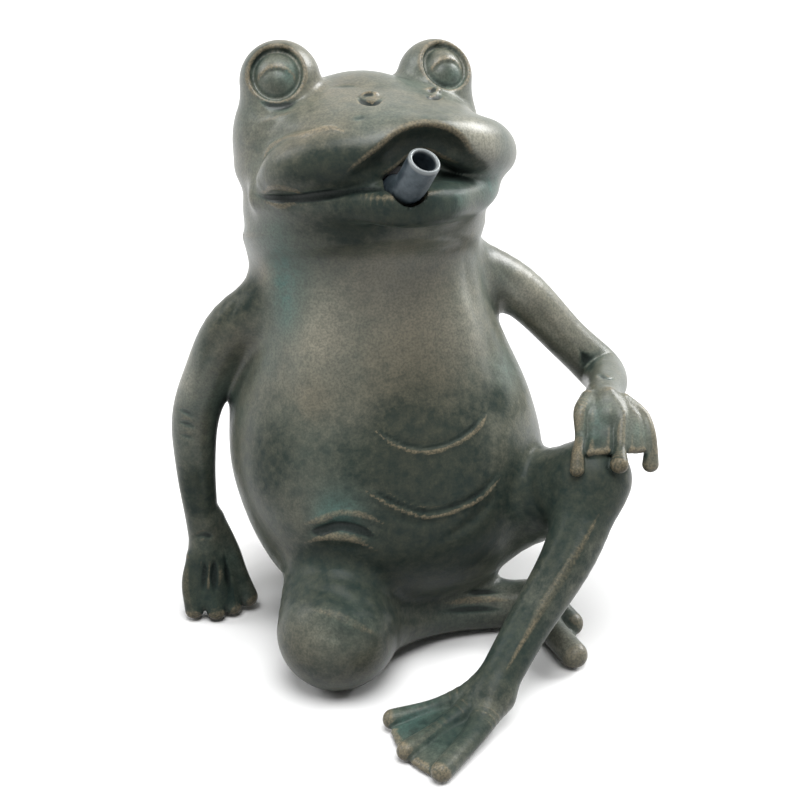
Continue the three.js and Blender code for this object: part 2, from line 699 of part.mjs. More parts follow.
// Worm-drive clips: a band with a screw housing, and the screw across it
const clipInner = hoseRadius + GAP;
const clipOuter = clipInner + CLIP_BAND;
const wormOffset = clipOuter + WORM_RADIUS + GAP;
const housingHeight = 2 * (WORM_RADIUS + GAP + HOUSING_WALL);

function clipBand() {
  const band = solidOf(turned(ringProfile(clipInner, clipOuter, -CLIP_WIDTH / 2, CLIP_WIDTH / 2)));
  const box = new THREE.BoxGeometry(HOUSING_LENGTH, CLIP_WIDTH, housingHeight);
  box.translate(0, 0, wormOffset);
  const boreEnd = new THREE.Vector3(HOUSING_LENGTH, 0, wormOffset);
  const bore = bar(boreEnd.clone().setX(-HOUSING_LENGTH), boreEnd, WORM_RADIUS + PIN_FIT, PIN_SIDES);
  const inside = bar(new THREE.Vector3(0, -CLIP_WIDTH, 0), new THREE.Vector3(0, CLIP_WIDTH, 0), clipInner);
  return geometryOf(cut(band.add(solidOf(box)), [inside, bore]));
}

function clipScrew() {
  const low = -HOUSING_LENGTH / 2 - GAP - WORM_HEAD_LENGTH;
  const high = low + WORM_HEAD_LENGTH + WORM_LENGTH;
  const head = hexBar(low, low + WORM_HEAD_LENGTH, WORM_HEAD_RADIUS);
  const worm = bar(new THREE.Vector3(0, low, 0), new THREE.Vector3(0, high, 0), WORM_RADIUS, PIN_SIDES);
  return geometryOf(head.add(worm));
}

// Inlet through the back: a barbed bulkhead with its washer and locknut, and an elbow inside
function barbProfile(low, high) {
  const pitch = (high - low) / BARB_COUNT;
  const profile = [[INLET_BORE, low]];
  for (let k = 0; k < BARB_COUNT; k += 1) {
    profile.push([PIPE_RADIUS - BARB_RIDGE, low + k * pitch]);
    profile.push([PIPE_RADIUS, low + k * pitch]);
    profile.push([PIPE_RADIUS - BARB_RIDGE, low + (k + BARB_SLOPE_SHARE) * pitch]);
  }
  profile.push([PIPE_RADIUS - BARB_RIDGE, high], [INLET_BORE, high], [INLET_BORE, low]);
  return profile;
}

function inletBulkhead() {
  const hexHigh = hexLow + HEX_THICK;
  const shank = solidOf(turned(ringProfile(INLET_BORE, THREAD_RADIUS, shankLow, hexLow + OVERSHOOT)));
  const barb = solidOf(turned(barbProfile(hexHigh - OVERSHOOT, hexHigh + BARB_LENGTH)));
  const bore = bar(new THREE.Vector3(0, 0, 0), new THREE.Vector3(0, hexHigh + OVERSHOOT, 0), INLET_BORE);
  const hex = hexBar(hexLow, hexHigh, THREAD_RADIUS + WASHER_WALL + GAP).subtract(bore);
  return geometryOf(joined([shank, hex, barb]));
}

function inletLocknut() {
  const low = new THREE.Vector3(0, nutLow - OVERSHOOT, 0);
  const high = new THREE.Vector3(0, nutHigh + OVERSHOOT, 0);
  const bore = bar(low, high, THREAD_RADIUS + PIN_FIT);
  return geometryOf(hexBar(nutLow, nutHigh, nutRadius).subtract(bore));
}

function inletElbow() {
  const barrel = bar(onInlet(elbowLow), onInlet(socketHigh), elbowRadius);
  const riser = solidOf(turned(barbProfile(0, ELBOW_RISE)), placing(onRiser(INLET_Z), UP));
  return cut(barrel.add(riser), [
    bar(onInlet(shankLow - GAP), onInlet(socketHigh + OVERSHOOT), THREAD_RADIUS + PIN_FIT),
    bar(onInlet(riserY), onInlet(socketHigh), INLET_BORE),
    bar(onRiser(INLET_Z), onRiser(riserTop + OVERSHOOT), INLET_BORE),
  ]);
}

// Base plate let into the seat, with countersunk screws and weep holes
function screwPlaces() {
  const halfWidth = (PLATE_HALF_WIDTH + HATCH_HALF_WIDTH) / 2;
  const halfDepth = (PLATE_HALF_DEPTH + HATCH_HALF_DEPTH) / 2;
  return Array.from({ length: SCREW_COUNT }, (_, k) => {
    const angle = (2 * Math.PI * (k + 0.5)) / SCREW_COUNT;
    return new THREE.Vector3(
      PLATE_AT[0] + halfWidth * Math.cos(angle),
      PLATE_AT[1] + halfDepth * Math.sin(angle),
      0,
    );
  });
}

function screwProfile(grow, high) {
  return [
    [0, -grow], [SCREW_HEAD_RADIUS + grow, -grow], [SCREW_HEAD_RADIUS + grow, 0],
    [SCREW_RADIUS + grow, SCREW_HEAD_DEPTH], [SCREW_RADIUS + grow, high], [0, high],
  ];
}

function screwTurned() {
  const [, , rim, neck, tip, end] = screwProfile(0, SCREW_LENGTH);
  return turned([[0, 0], rim, neck, tip, end], PIN_SIDES);
}

function basePlate() {
  const plate = ovalBar(PLATE_HALF_WIDTH, PLATE_HALF_DEPTH, 0, PLATE_THICK, ...PLATE_AT);
  const sinks = screwPlaces().map((place) => solidOf(
    turned(screwProfile(PIN_FIT, PLATE_THICK + OVERSHOOT), PIN_SIDES),
    placing(place, UP),
  ));
  const weeps = [-WEEP_OFFSET, WEEP_OFFSET].map((shift) => bar(
    new THREE.Vector3(PLATE_AT[0] + shift, PLATE_AT[1], -OVERSHOOT),
    new THREE.Vector3(PLATE_AT[0] + shift, PLATE_AT[1], PLATE_THICK + OVERSHOOT),
    WEEP_RADIUS,
  ));
  return cut(plate, [...sinks, ...weeps]);
}

// Solid limbs, each cut back from the larger pieces that it meets
function rightLimbs() {
  const arm = onGround(cut(limb(RIGHT_ARM), [
    trunk(GAP),
    ...holes('right_shoulder_dowel', 'right_wrist_dowel'),
  ]));
  const hand = onGround(cut(limb(RIGHT_PALM).add(digits(RIGHT_FINGERS)), [
    limb(RIGHT_ARM, GAP),
    ...holes('right_wrist_dowel'),
  ]));
  const thigh = onGround(cut(limb(RIGHT_THIGH), [
    trunk(GAP),
    ...holes('right_hip_dowel', 'right_knee_dowel'),
  ]));
  const shank = onGround(cut(limb(RIGHT_SHANK), [
    trunk(GAP),
    limb(RIGHT_THIGH, GAP),
    ...holes('right_knee_dowel', 'right_ankle_dowel'),
  ]));
  const foot = onGround(cut(digits(RIGHT_TOES), [
    trunk(GAP),
    limb(RIGHT_SHANK, GAP),
    ...holes('right_ankle_dowel'),
  ]));
  return { arm, hand, thigh, shank, foot };
}

function leftLimbs() {
  const arm = cut(limb(LEFT_ARM), [trunk(GAP), ...holes('left_shoulder_dowel', 'left_wrist_dowel')]);
  const hand = cut(limb(LEFT_PALM).add(digits(LEFT_FINGERS)), [
    limb(LEFT_ARM, GAP),
    limb(LEFT_THIGH, GAP),
    limb(LEFT_SHANK, GAP),
    ...holes('left_wrist_dowel'),
  ]);
  const thigh = cut(limb(LEFT_THIGH), [trunk(GAP), ...holes('left_hip_dowel', 'left_knee_dowel')]);
  const shank = onGround(cut(limb(LEFT_SHANK), [
    limb(LEFT_THIGH, GAP),
    ...holes('left_knee_dowel', 'left_ankle_dowel'),
  ]));
  const foot = onGround(cut(digits(LEFT_TOES), [limb(LEFT_SHANK, GAP), ...holes('left_ankle_dowel')]));
  return { arm, hand, thigh, shank, foot };
}

// The assembly
const frog = new THREE.Group();

function addPiece(name, geometry, finish, place, direction) {
  const mesh = new THREE.Mesh(geometry, new THREE.MeshStandardMaterial(FINISHES[finish]));
  mesh.name = name;
  if (place) {
    mesh.position.copy(place);
    mesh.quaternion.copy(turnTo(direction));
  }
  frog.add(mesh);
  return mesh;
}

addPiece('torso_casting', geometryOf(trunkCasting()), 'bronze');
addPiece('head_casting', geometryOf(headCasting()), 'bronze');
addPiece('neck_sleeve', geometryOf(neckSleeve()), 'brass');
Object.entries({ right: rightLimbs(), left: leftLimbs() }).forEach(([side, limbs]) => {
  Object.entries(limbs).forEach(([part, solid]) => {
    addPiece(`${side}_${part}_casting`, geometryOf(solid), 'bronze');
  });
});

Object.entries(dowels).forEach(([name, { place, direction, radius, length }]) => {
  addPiece(name, new THREE.CylinderGeometry(radius, radius, length, PIN_SIDES), 'steel', place, direction);
});

addPiece('spout_pipe', tube(spoutPath(), PIPE_RADIUS, PIPE_BORE, PIN_SIDES, PIPE_STEPS), 'pipe');
addPiece('spout_grommet', grommet(), 'rubber', onTail(GROMMET_FACE), tailTurn);
addPiece('inner_hose', tube(hosePath(), hoseRadius, hoseBore, PIN_SIDES, HOSE_STEPS), 'hose');

const upperClip = onTail(PIPE_TAIL - HOSE_OVERLAP / 2);
const lowerClip = onRiser(riserTop - HOSE_OVERLAP / 2);
const clipTurns = {
  upper_clip: { place: upperClip, direction: tailTurn },
  lower_clip: { place: lowerClip, direction: UP },
};
Object.entries(clipTurns).forEach(([name, { place, direction }]) => {
  addPiece(`${name}_band`, clipBand(), 'steel', place, direction);
  const matrix = placing(place, direction);
  const wormPlace = new THREE.Vector3(0, 0, wormOffset).applyMatrix4(matrix);
  const wormTurn = new THREE.Vector3(1, 0, 0).transformDirection(matrix);
  addPiece(`${name}_screw`, clipScrew(), 'steel', wormPlace, wormTurn);
});

const washerRadii = [THREAD_RADIUS + GAP, THREAD_RADIUS + WASHER_WALL];
const washer = turned(ringProfile(...washerRadii, washerLow, washerLow + WASHER_THICK));
const inletLine = new THREE.Vector3(INLET_X, 0, INLET_Z);
addPiece('inlet_bulkhead', inletBulkhead(), 'brass', inletLine, AXIS);
addPiece('inlet_washer', washer, 'rubber', inletLine, AXIS);
addPiece('inlet_locknut', inletLocknut(), 'brass', inletLine, AXIS);
addPiece('inlet_elbow', geometryOf(inletElbow()), 'brass');

addPiece('base_plate', geometryOf(basePlate()), 'bronze');
screwPlaces().forEach((place, k) => {
  addPiece(`base_screw_${k + 1}`, screwTurned(), 'steel', place, UP);
});

export default frog;
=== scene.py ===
# %% [markdown]
# # A bronze frog that spits water
# This lesson dresses a packed CAD model of a pond ornament: a seated frog, cast in bronze sections, with a
# bent spout pipe between its lips. The CAD model fixes every place and size. Blender adds what a casting has
# and a CAD solid lacks: swelling flesh, folds of skin, webs between the toes, and a weathered patina, with
# painted shade and painted highlights laid into its colour.

# %% Load the frame
import math

import bpy
import numpy as np
from mathutils import Matrix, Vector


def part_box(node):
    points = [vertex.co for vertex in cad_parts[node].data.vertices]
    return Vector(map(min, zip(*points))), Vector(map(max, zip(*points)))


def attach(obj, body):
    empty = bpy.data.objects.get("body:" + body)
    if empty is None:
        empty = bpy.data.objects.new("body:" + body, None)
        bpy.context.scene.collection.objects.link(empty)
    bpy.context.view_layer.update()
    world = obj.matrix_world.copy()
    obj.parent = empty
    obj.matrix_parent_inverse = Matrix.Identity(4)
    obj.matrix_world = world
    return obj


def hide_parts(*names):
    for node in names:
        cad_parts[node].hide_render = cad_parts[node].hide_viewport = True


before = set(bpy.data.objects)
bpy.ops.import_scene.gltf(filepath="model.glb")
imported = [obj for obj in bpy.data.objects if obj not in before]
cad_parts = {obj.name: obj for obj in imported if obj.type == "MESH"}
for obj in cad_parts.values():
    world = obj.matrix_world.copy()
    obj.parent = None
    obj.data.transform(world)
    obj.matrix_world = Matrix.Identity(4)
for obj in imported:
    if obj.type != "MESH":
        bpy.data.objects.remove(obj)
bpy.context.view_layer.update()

# %% [markdown]
# ## The camera comes first
# The folds of the skin are placed by pixels of the photograph, so the camera has to be known before the
# clay is touched. It stands to the frog's right and a little above it. A long lens keeps the feet from
# swelling. Its focal length is kept in pixels, because then a pixel turns into a ray with no further factor.

# %% Camera
MM = 0.001
PHOTO_SIZE = 800
FOCAL_PIXELS = 2304.0
SENSOR_WIDTH = 36.0
CAMERA_AZIMUTH = math.radians(-20)
CAMERA_ELEVATION = math.radians(26)
CAMERA_DISTANCE = 900.0
LOOK_AT = np.array([-11.0, -47.0, 118.0])

camera_back = np.array([
    math.sin(CAMERA_AZIMUTH) * math.cos(CAMERA_ELEVATION),
    -math.cos(CAMERA_AZIMUTH) * math.cos(CAMERA_ELEVATION),
    math.sin(CAMERA_ELEVATION),
])
camera_right = np.array([math.cos(CAMERA_AZIMUTH), math.sin(CAMERA_AZIMUTH), 0.0])
camera_up = np.cross(camera_back, camera_right)
camera_place = LOOK_AT + CAMERA_DISTANCE * camera_back


def add_camera():
    data = bpy.data.cameras.new("camera")
    data.sensor_width = SENSOR_WIDTH
    data.lens = SENSOR_WIDTH * FOCAL_PIXELS / PHOTO_SIZE
    camera = bpy.data.objects.new("camera", data)
    turn = np.eye(4)
    turn[:3, :3] = np.column_stack([camera_right, camera_up, camera_back])
    turn[:3, 3] = camera_place * MM
    camera.matrix_world = Matrix(turn.tolist())
    bpy.context.scene.collection.objects.link(camera)
    bpy.context.scene.camera = camera
    return camera


camera = add_camera()
print("camera at", camera.location[:], "lens", round(camera.data.lens, 2))

# %% [markdown]
# ## Clay as distance fields
# A cast figure is modelled in clay: masses are pressed together, and the thumb smooths the joins. A distance
# field does the same in code. Each mass is a function that gives the distance to its surface, negative
# inside. Taking the smaller of two distances joins two masses, and a soft minimum smooths the join as a
# thumb would. Subdivision surfaces could do this too, but every join would need its own edge loops.

# %% Fields of single masses
REACH = 26.0  # past this distance, a tube's field is only a rough guess
FAR = 1e6
TINY = 1e-6


def blend(a, b, soft):
    """The union of two fields, with a fillet of about this size in millimetres."""
    share = np.maximum(soft - np.abs(a - b), 0) / soft
    return np.minimum(a, b) - share * share * (soft / 4)


def carve(a, b, soft):
    """Field a with field b cut out of it."""
    return -blend(-a, b, soft)


def ellipsoid(p, centre, radii):
    q = (p - np.array(centre, np.float32)) / np.array(radii, np.float32)
    near = np.sqrt((q * q).sum(1))
    slope = np.sqrt(((q / np.array(radii, np.float32)) ** 2).sum(1))
    return near * (near - 1) / np.maximum(slope, TINY)


def ball(q, centre, radius):
    return np.linalg.norm(q - np.array(centre, np.float32), axis=1) - radius


def box_distance(p, low, high):
    gap = np.maximum(np.maximum(low - p, p - high), 0)
    return np.sqrt((gap * gap).sum(1)).astype(np.float32)


def close_to(p, path, room):
    """Which points lie in a box around a path, and how far these are from its skin."""
    radius = path[:, 3:4]
    low = (path[:, :3] - radius).min(0)
    high = (path[:, :3] + radius).max(0)
    far = box_distance(p, low, high)
    close = np.flatnonzero(far < room)
    q = p[close]
    best = np.full(len(q), FAR, np.float32)
    for a, b in zip(path[:-1].astype(np.float32), path[1:].astype(np.float32)):
        along = b[:3] - a[:3]
        share = np.clip((q - a[:3]) @ along / max(float(along @ along), TINY), 0, 1)
        off = q - a[:3] - share[:, None] * along
        best = np.minimum(best, np.sqrt((off * off).sum(1)) - a[3] - (b[3] - a[3]) * share)
    return close, best, far


def tube(p, path):
    """Distance to a tube along a path whose rows are x, y, z and radius."""
    close, best, far = close_to(p, path, REACH)
    distance = far + 1
    distance[close] = best
    return distance


def smooth_path(rows, steps=6):
    """A smooth line through rows of numbers, with this many steps between two rows."""
    rows = np.array(rows, float)
    if len(rows) == 2:
        return np.linspace(rows[0], rows[1], steps + 1)
    stride = np.sqrt(np.maximum(np.linalg.norm(np.diff(rows[:, :3], axis=0), axis=1), TINY))
    slopes = np.diff(rows, axis=0) / stride[:, None]
    weight = (stride[:-1] / (stride[:-1] + stride[1:]))[:, None]
    tangents = np.vstack([slopes[:1], slopes[:-1] * (1 - weight) + slopes[1:] * weight, slopes[-1:]])
    line = [rows[:1]]
    for k, length in enumerate(stride):
        s = np.linspace(0, 1, steps + 1)[1:, None]
        line.append(
            (2 * s ** 3 - 3 * s ** 2 + 1) * rows[k] + (3 * s ** 2 - 2 * s ** 3) * rows[k + 1]
            + length * ((s ** 3 - 2 * s ** 2 + s) * tangents[k] + (s ** 3 - s ** 2) * tangents[k + 1])
        )
    return np.vstack(line)


def limb(rows, steps=6):
    path = smooth_path(rows, steps)
    return lambda p: tube(p, path)


print("tools ready: blend, carve, ellipsoid, tube, limb")

# %% [markdown]
# ## From a pixel to the clay
# A fold that is seen at a pixel lies where that pixel's ray first meets the clay. The ray steps forward by
# the distance that the field gives, so it can't pass through the surface. A ray that misses by a little stops
# where it came closest.

# %% Tracing pixels
RAY_START = 600.0
RAY_STEPS = 70
RAY_STRIDE = 0.85
LONGEST_STRIDE = 20.0
MISS = 0.5


def trace(pixels, field):
    """Where the rays of these pixels, in the photograph's frame, meet a field's surface."""
    pixels = np.array(pixels, float)
    middle = PHOTO_SIZE / 2
    ways = (
        -FOCAL_PIXELS * camera_back
        + (pixels[:, :1] - middle) * camera_right
        - (pixels[:, 1:2] - middle) * camera_up
    )
    ways /= np.linalg.norm(ways, axis=1, keepdims=True)
    travel = np.full(len(pixels), RAY_START)
    closest = np.full(len(pixels), FAR)
    best = np.zeros((len(pixels), 3))
    for _ in range(RAY_STEPS):
        places = camera_place + travel[:, None] * ways
        gap = field(places.astype(np.float32))
        nearer = np.abs(gap) < closest
        best[nearer] = places[nearer]
        closest = np.minimum(closest, np.abs(gap))
        travel += RAY_STRIDE * np.clip(gap, -LONGEST_STRIDE, LONGEST_STRIDE)
    if (closest > MISS).any():
        print("  pixels off the clay:", pixels[closest > MISS].tolist())
    return best


print("one pixel is about", round(CAMERA_DISTANCE / FOCAL_PIXELS, 2), "mm at the frog")

# %% [markdown]
# ## The frog's plan
# These rows repeat the plan of the castings in millimetres. A row of the trunk is a level section: its height,
# its middle in x and y, and how far it reaches sideways, forward and back. A row of a limb is a point and the
# radius there. The head has a frame of its own, because it looks up and leans a little.

# %% Trunk, limbs and head frame
TRUNK = np.array([
    [-4, 2, 8, 36, 28, 34],
    [14, 2, 5, 44, 38, 40],
    [32, 1, 1, 54, 53, 46],
    [52, 0, -2, 61, 59, 50],
    [74, -1, -2, 64.5, 58, 52],
    [98, -2, 1, 61, 54, 48],
    [120, -3, 5, 53.5, 47, 41],
    [142, -5, 8, 47.5, 42, 35],
    [160, -6.5, 10, 46.5, 39, 30],
    [190, -7, 11, 46.5, 39, 28],
])
RIGHT_ARM = [
    [-34, 4, 150, 12], [-60.5, 12, 133, 10.6], [-70.5, 20, 109, 9.6], [-75.5, 24, 88, 9.5],
    [-76.5, 22, 66, 8.2], [-75.5, 19, 42, 6.8], [-75, 17, 28, 6.4],
]
LEFT_ARM = [
    [30, 7, 150, 13.5], [58, 4, 135, 10.6], [81, -1, 110, 9], [94, -5, 96, 9.5],
    [90, -22, 98, 8.5], [80, -40, 103, 7], [75, -52, 104, 6.5],
]
RIGHT_THIGH = [[-20, -2, 40, 19], [-32, -30, 36, 21], [-41, -55, 23.5, 24]]
LEFT_THIGH = [[24, -4, 40, 23], [44, -32, 55, 20], [64, -62, 77, 15]]
RIGHT_SHANK = [
    [-34, -50, 18, 16], [-10, -40, 15.5, 12.6], [12, -35, 12.5, 11.2], [35, -37, 10.5, 10.5], [53, -43, 10, 9],
]
LEFT_SHANK = [[65.5, -64, 77.5, 14], [50, -79, 56, 11], [24, -94, 32, 8.8], [7, -104, 15, 8.2]]
RIGHT_PALM = [[-75, 17, 28, 6.4], [-74, 17, 20, 9.5], [-73, 16, 12, 9.5]]
RIGHT_FINGERS = [
    [[-80, 16.5, 26, 3.6], [-83, 14.5, 16, 3.6], [-82.5, 11.5, 4.2, 4]],
    [[-76, 14, 26, 3.6], [-75.5, 10.5, 14, 3.2], [-74, 7.5, 4.2, 4]],
    [[-70, 14.5, 26, 3.8], [-67.5, 11.5, 14, 3.4], [-66.5, 9, 4.4, 4]],
    [[-71, 18.5, 42, 5], [-65, 16.5, 28, 4.2], [-61.5, 14, 15, 4], [-59, 11.5, 6, 4.4]],
]
LEFT_PALM = [[77, -44, 103.5, 6.8], [75, -52, 103, 7.4], [74, -57, 101, 7]]
LEFT_FINGERS = [
    [[69, -50, 106, 4.2], [62.5, -56, 104.5, 2.9], [60.6, -61.5, 96.5, 2.5],
     [56, -69, 93, 2.5], [54, -73, 88.5, 2.9]],
    [[76, -52, 107.5, 4], [77.8, -61, 103.4, 2.8], [75, -67.5, 97.6, 2.6],
     [72.8, -72, 93.5, 2.6], [70.2, -77.6, 90.2, 3.7]],
    [[82, -54, 104.5, 4], [87.5, -60.5, 101, 2.9], [88.3, -66, 96, 2.7],
     [87.8, -69.5, 90.5, 2.8], [87, -71.5, 84.3, 3.4]],
]
RIGHT_TOES = [
    [[50, -42, 10, 8.5], [59, -48, 8, 5.6], [62, -55, 5.4, 5.4]],
    [[50, -42, 10, 8.5], [51, -61, 8, 5.8], [53.5, -78, 5.4, 5.6]],
]
LEFT_TOES = [
    [[6, -103, 13, 8.2], [-14, -98.4, 7.8, 3.9], [-31.6, -95.6, 4.6, 4.1]],
    [[6, -105, 13, 8.2], [-14, -110, 7.6, 3.8], [-33.6, -117, 4.1, 4.1]],
    [[6, -106, 13, 8.2], [-5, -118, 8, 4.8], [-26, -134.5, 4.3, 4.3]],
]
HEAD_AT = np.array([-7.0, 9.0, 205.0])
HEAD_PITCH = math.radians(17)
HEAD_ROLL = math.radians(5)
HEAD_YAW = math.radians(4)


def axis_turn(angle, first, second):
    """A turn in the plane of two axes."""
    turn = np.eye(3)
    turn[first, first] = turn[second, second] = math.cos(angle)
    turn[first, second], turn[second, first] = math.sin(angle), -math.sin(angle)
    return turn


X, Y, Z = range(3)
HEAD_TURN = axis_turn(HEAD_YAW, Y, X) @ axis_turn(HEAD_ROLL, X, Z) @ axis_turn(HEAD_PITCH, Y, Z)


def in_head(p):
    return ((p - HEAD_AT) @ HEAD_TURN).astype(np.float32)


def from_head(q):
    return np.array(q, float) @ HEAD_TURN.T + HEAD_AT


print("plan: 12 castings, head at", HEAD_AT)

# %% [markdown]
# ## Trunk
# The trunk is a pear of egg-shaped level sections. Its front is a little squarer than an ellipse, which
# gives the belly its broad flat plane with a soft edge on either side.

# %% Trunk field
SQUARENESS = 2.3
SLOPE_FACTOR = 0.92
AXIS_RATIO = 0.05  # nearer to the axis than this, the depth is taken as constant
NECK_LEVEL = -37.0
NECK_ROUNDING = 2.0
TRUNK_LINE = smooth_path(np.column_stack([TRUNK[:, 0] * 0, TRUNK[:, 0] * 0, TRUNK]), steps=8)[:, 2:]


def trunk_mass(p):
    level = p[:, 2]
    row = [np.interp(level, TRUNK_LINE[:, 0], TRUNK_LINE[:, k]).astype(np.float32) for k in range(6)]
    across = p[:, 0] - row[1]
    depth = p[:, 1] - row[2]
    half = row[3]
    reach = np.where(depth < 0, row[4], row[5])
    ratio = (np.abs(across / half) ** SQUARENESS + np.abs(depth / reach) ** SQUARENESS) ** (1 / SQUARENESS)
    spread = np.sqrt(across ** 2 + depth ** 2)
    return SLOPE_FACTOR * np.where(ratio > AXIS_RATIO, spread * (1 - 1 / np.maximum(ratio, AXIS_RATIO)), -half)


def trunk_base(p):
    above_neck = NECK_LEVEL - in_head(p)[:, 2]
    return carve(trunk_mass(p), above_neck, NECK_ROUNDING)


print("belly at", TRUNK[TRUNK[:, 3].argmax(), 0], "mm is", 2 * TRUNK[:, 3].max(), "mm wide")

# %% [markdown]
# ## Head
# The skull, jaw, cheeks, snout and crown are egg shapes. The upper lip is a roll that swells into a lobe on each
# side and arches up over the spout. The lower lip is a thinner roll that pouts forward round the pipe. Each eye
# starts as a round mound.

# %% Head masses
SKULL = ((0, 6, 2), (49, 42, 24.5))
JAW = ((1.5, 3, -24), (49, 43, 27))
CHEEK = ((0.5, 2, -8), (50, 40, 16))
SNOUT = ((0, -20, 6), (39, 31, 12.5))
CROWN = ((1, 0, 17), (15, 22, 10))
MUZZLE = ((1, -14, -7), (52, 42, 30))
UPPER_LIP = [
    [-46, -19, -11, 5.5], [-42, -26, -7.5, 9], [-32, -36, -4.5, 11], [-17, -44.5, -2, 10.5], [-4, -49.5, 2, 8],
    [5, -51, 3.5, 7], [14, -49.5, 2, 8], [26, -43.5, -1, 10.5], [38, -33, -4, 11.5], [48, -20, -7.5, 8.5],
    [51, -8, -11, 4.5],
]
LOWER_LIP = [
    [-47, -9, -18.5, 3], [-38, -25, -20, 4.7], [-23, -39, -21, 6.2], [-8, -53, -22.2, 8.5], [7, -51, -22.7, 8.3],
    [22, -42.5, -22, 7.4], [37, -30.5, -19.5, 6.5], [48, -13, -17, 4],
]
EYES = [((-33.0, 0.0, 25.5), 15.8), ((33.2, 0.0, 24.3), 15.0)]
TEMPLES_AT = [(-40.0, 3.0, 9.0), (40.0, 3.0, 9.0)]
TEMPLE_RADII = (10, 14, 14)
HEAD_FILLETS = {
    "jaw": 10.0, "cheek": 8.0, "lower lip": 11.0, "snout": 9.0, "crown": 6.0, "upper lip": 5.0, "temple": 6.0,
    "eye": 5.0,
}
upper_lip = limb(UPPER_LIP, steps=9)
lower_lip = limb(LOWER_LIP, steps=10)


def head_core(q):
    d = blend(ellipsoid(q, *SKULL), ellipsoid(q, *JAW), HEAD_FILLETS["jaw"])
    return blend(d, ellipsoid(q, *CHEEK), HEAD_FILLETS["cheek"])


def head_mass(q):
    d = blend(head_core(q), lower_lip(q), HEAD_FILLETS["lower lip"])
    d = blend(d, ellipsoid(q, *SNOUT), HEAD_FILLETS["snout"])
    d = blend(d, ellipsoid(q, *CROWN), HEAD_FILLETS["crown"])
    d = blend(d, upper_lip(q), HEAD_FILLETS["upper lip"])
    for temple, (eye, radius) in zip(TEMPLES_AT, EYES):
        d = blend(d, ellipsoid(q, temple, TEMPLE_RADII), HEAD_FILLETS["temple"])
        d = blend(d, ball(q, eye, radius), HEAD_FILLETS["eye"])
    return d


def head_blank(p):
    return head_mass(in_head(p))


def muzzle_front(p):
    return ellipsoid(in_head(p), *MUZZLE)


print("head is", 2 * SKULL[1][0], "mm across the skull")

# %% [markdown]
# ## Mouth, eyes and nostrils
# Between the lips, under the arch, the mouth is hollowed out along a line of pixels. Each mound gets a socket,
# an eyeball and a heavy upper lid, all along the way that the eye looks. The nostrils are small beads.

# %% Mouth hollow, eye sockets and nostrils
MOUTH_PIXELS = [(338, 190), (362, 180), (392, 168), (418, 158), (440, 158), (461, 169), (488, 178)]
MOUTH_RADII = [1.8, 5.5, 9, 11.8, 10.5, 6.5, 2]
MOUTH_FORWARD = 3.0
MOUTH_EDGE = 2.0
SOCKET_PIXELS = [(274.5, 70.5), (450.5, 61)]
NOSTRIL_PIXELS = [(370, 95), (433, 91)]
NOSTRIL_RADII = (3.6, 2.4, 1.6)
NOSTRIL_FILLET = 1.6

mouth_line = in_head(trace(MOUTH_PIXELS, muzzle_front)) - (0, MOUTH_FORWARD, 0)
mouth_hollow = limb(np.column_stack([mouth_line, MOUTH_RADII]))
socket_spots = in_head(trace(SOCKET_PIXELS, head_blank))
nostril_spots = in_head(trace(NOSTRIL_PIXELS, head_blank))

# Sizes of the eye as shares of its mound's radius, along the way it looks and down from there
SOCKET_OFFSET = 1.07
SOCKET_RADIUS = 0.77
LID_OFFSET = 0.2
LID_RADIUS = 0.67
OPENING_OFFSET = 0.78
OPENING_DROP = 0.38
OPENING_RADIUS = 0.47
EYEBALL_OFFSET = 0.2
EYEBALL_DROP = 0.13
EYEBALL_RADIUS = 0.63
# How softly its edges are rounded, in millimetres
SOCKET_EDGE = 0.9
OPENING_EDGE = 0.7
LID_FILLET = 0.8
EYEBALL_FILLET = 0.5


def eye_details(q, d, spot, middle, size):
    """A round socket, a lid that half fills it, and an eyeball in the arch below the lid."""
    middle = np.array(middle)
    way = (spot - middle) / np.linalg.norm(spot - middle)
    down = np.array([0, 0, -1.0]) + way * way[2]
    down /= np.linalg.norm(down)
    socket = ball(q, middle + SOCKET_OFFSET * size * way, SOCKET_RADIUS * size)
    lid = np.maximum(ball(q, middle + LID_OFFSET * size * way, LID_RADIUS * size), socket)
    opening = middle + size * (OPENING_OFFSET * way + OPENING_DROP * down)
    lid = carve(lid, ball(q, opening, OPENING_RADIUS * size), OPENING_EDGE)
    eyeball = middle + size * (EYEBALL_OFFSET * way + EYEBALL_DROP * down)
    d = blend(carve(d, socket, SOCKET_EDGE), lid, LID_FILLET)
    return blend(d, ball(q, eyeball, EYEBALL_RADIUS * size), EYEBALL_FILLET)


def head_base(p):
    q = in_head(p)
    d = carve(head_mass(q), mouth_hollow(q), MOUTH_EDGE)
    for spot, (middle, size) in zip(socket_spots, EYES):
        d = eye_details(q, d, spot, middle, size)
    for spot in nostril_spots:
        d = blend(d, ellipsoid(q, spot, NOSTRIL_RADII), NOSTRIL_FILLET)
    below_neck = q[:, 2] - NECK_LEVEL
    return carve(d, below_neck, NECK_ROUNDING)


print("sockets at", socket_spots.round(1).tolist())
print("mouth line", mouth_line.round(1).tolist())

# %% [markdown]
# ## Hands and feet
# Fingers and toes are thin limbs. The skin between two of them is a web: lines that run between the two and
# stop short of the tips, blended so softly that they flow into one sheet with a curved edge.

# %% Webbed hands and feet
WEB_SHARES = (0.25, 0.5, 0.75)
FEWEST_ROWS = 3


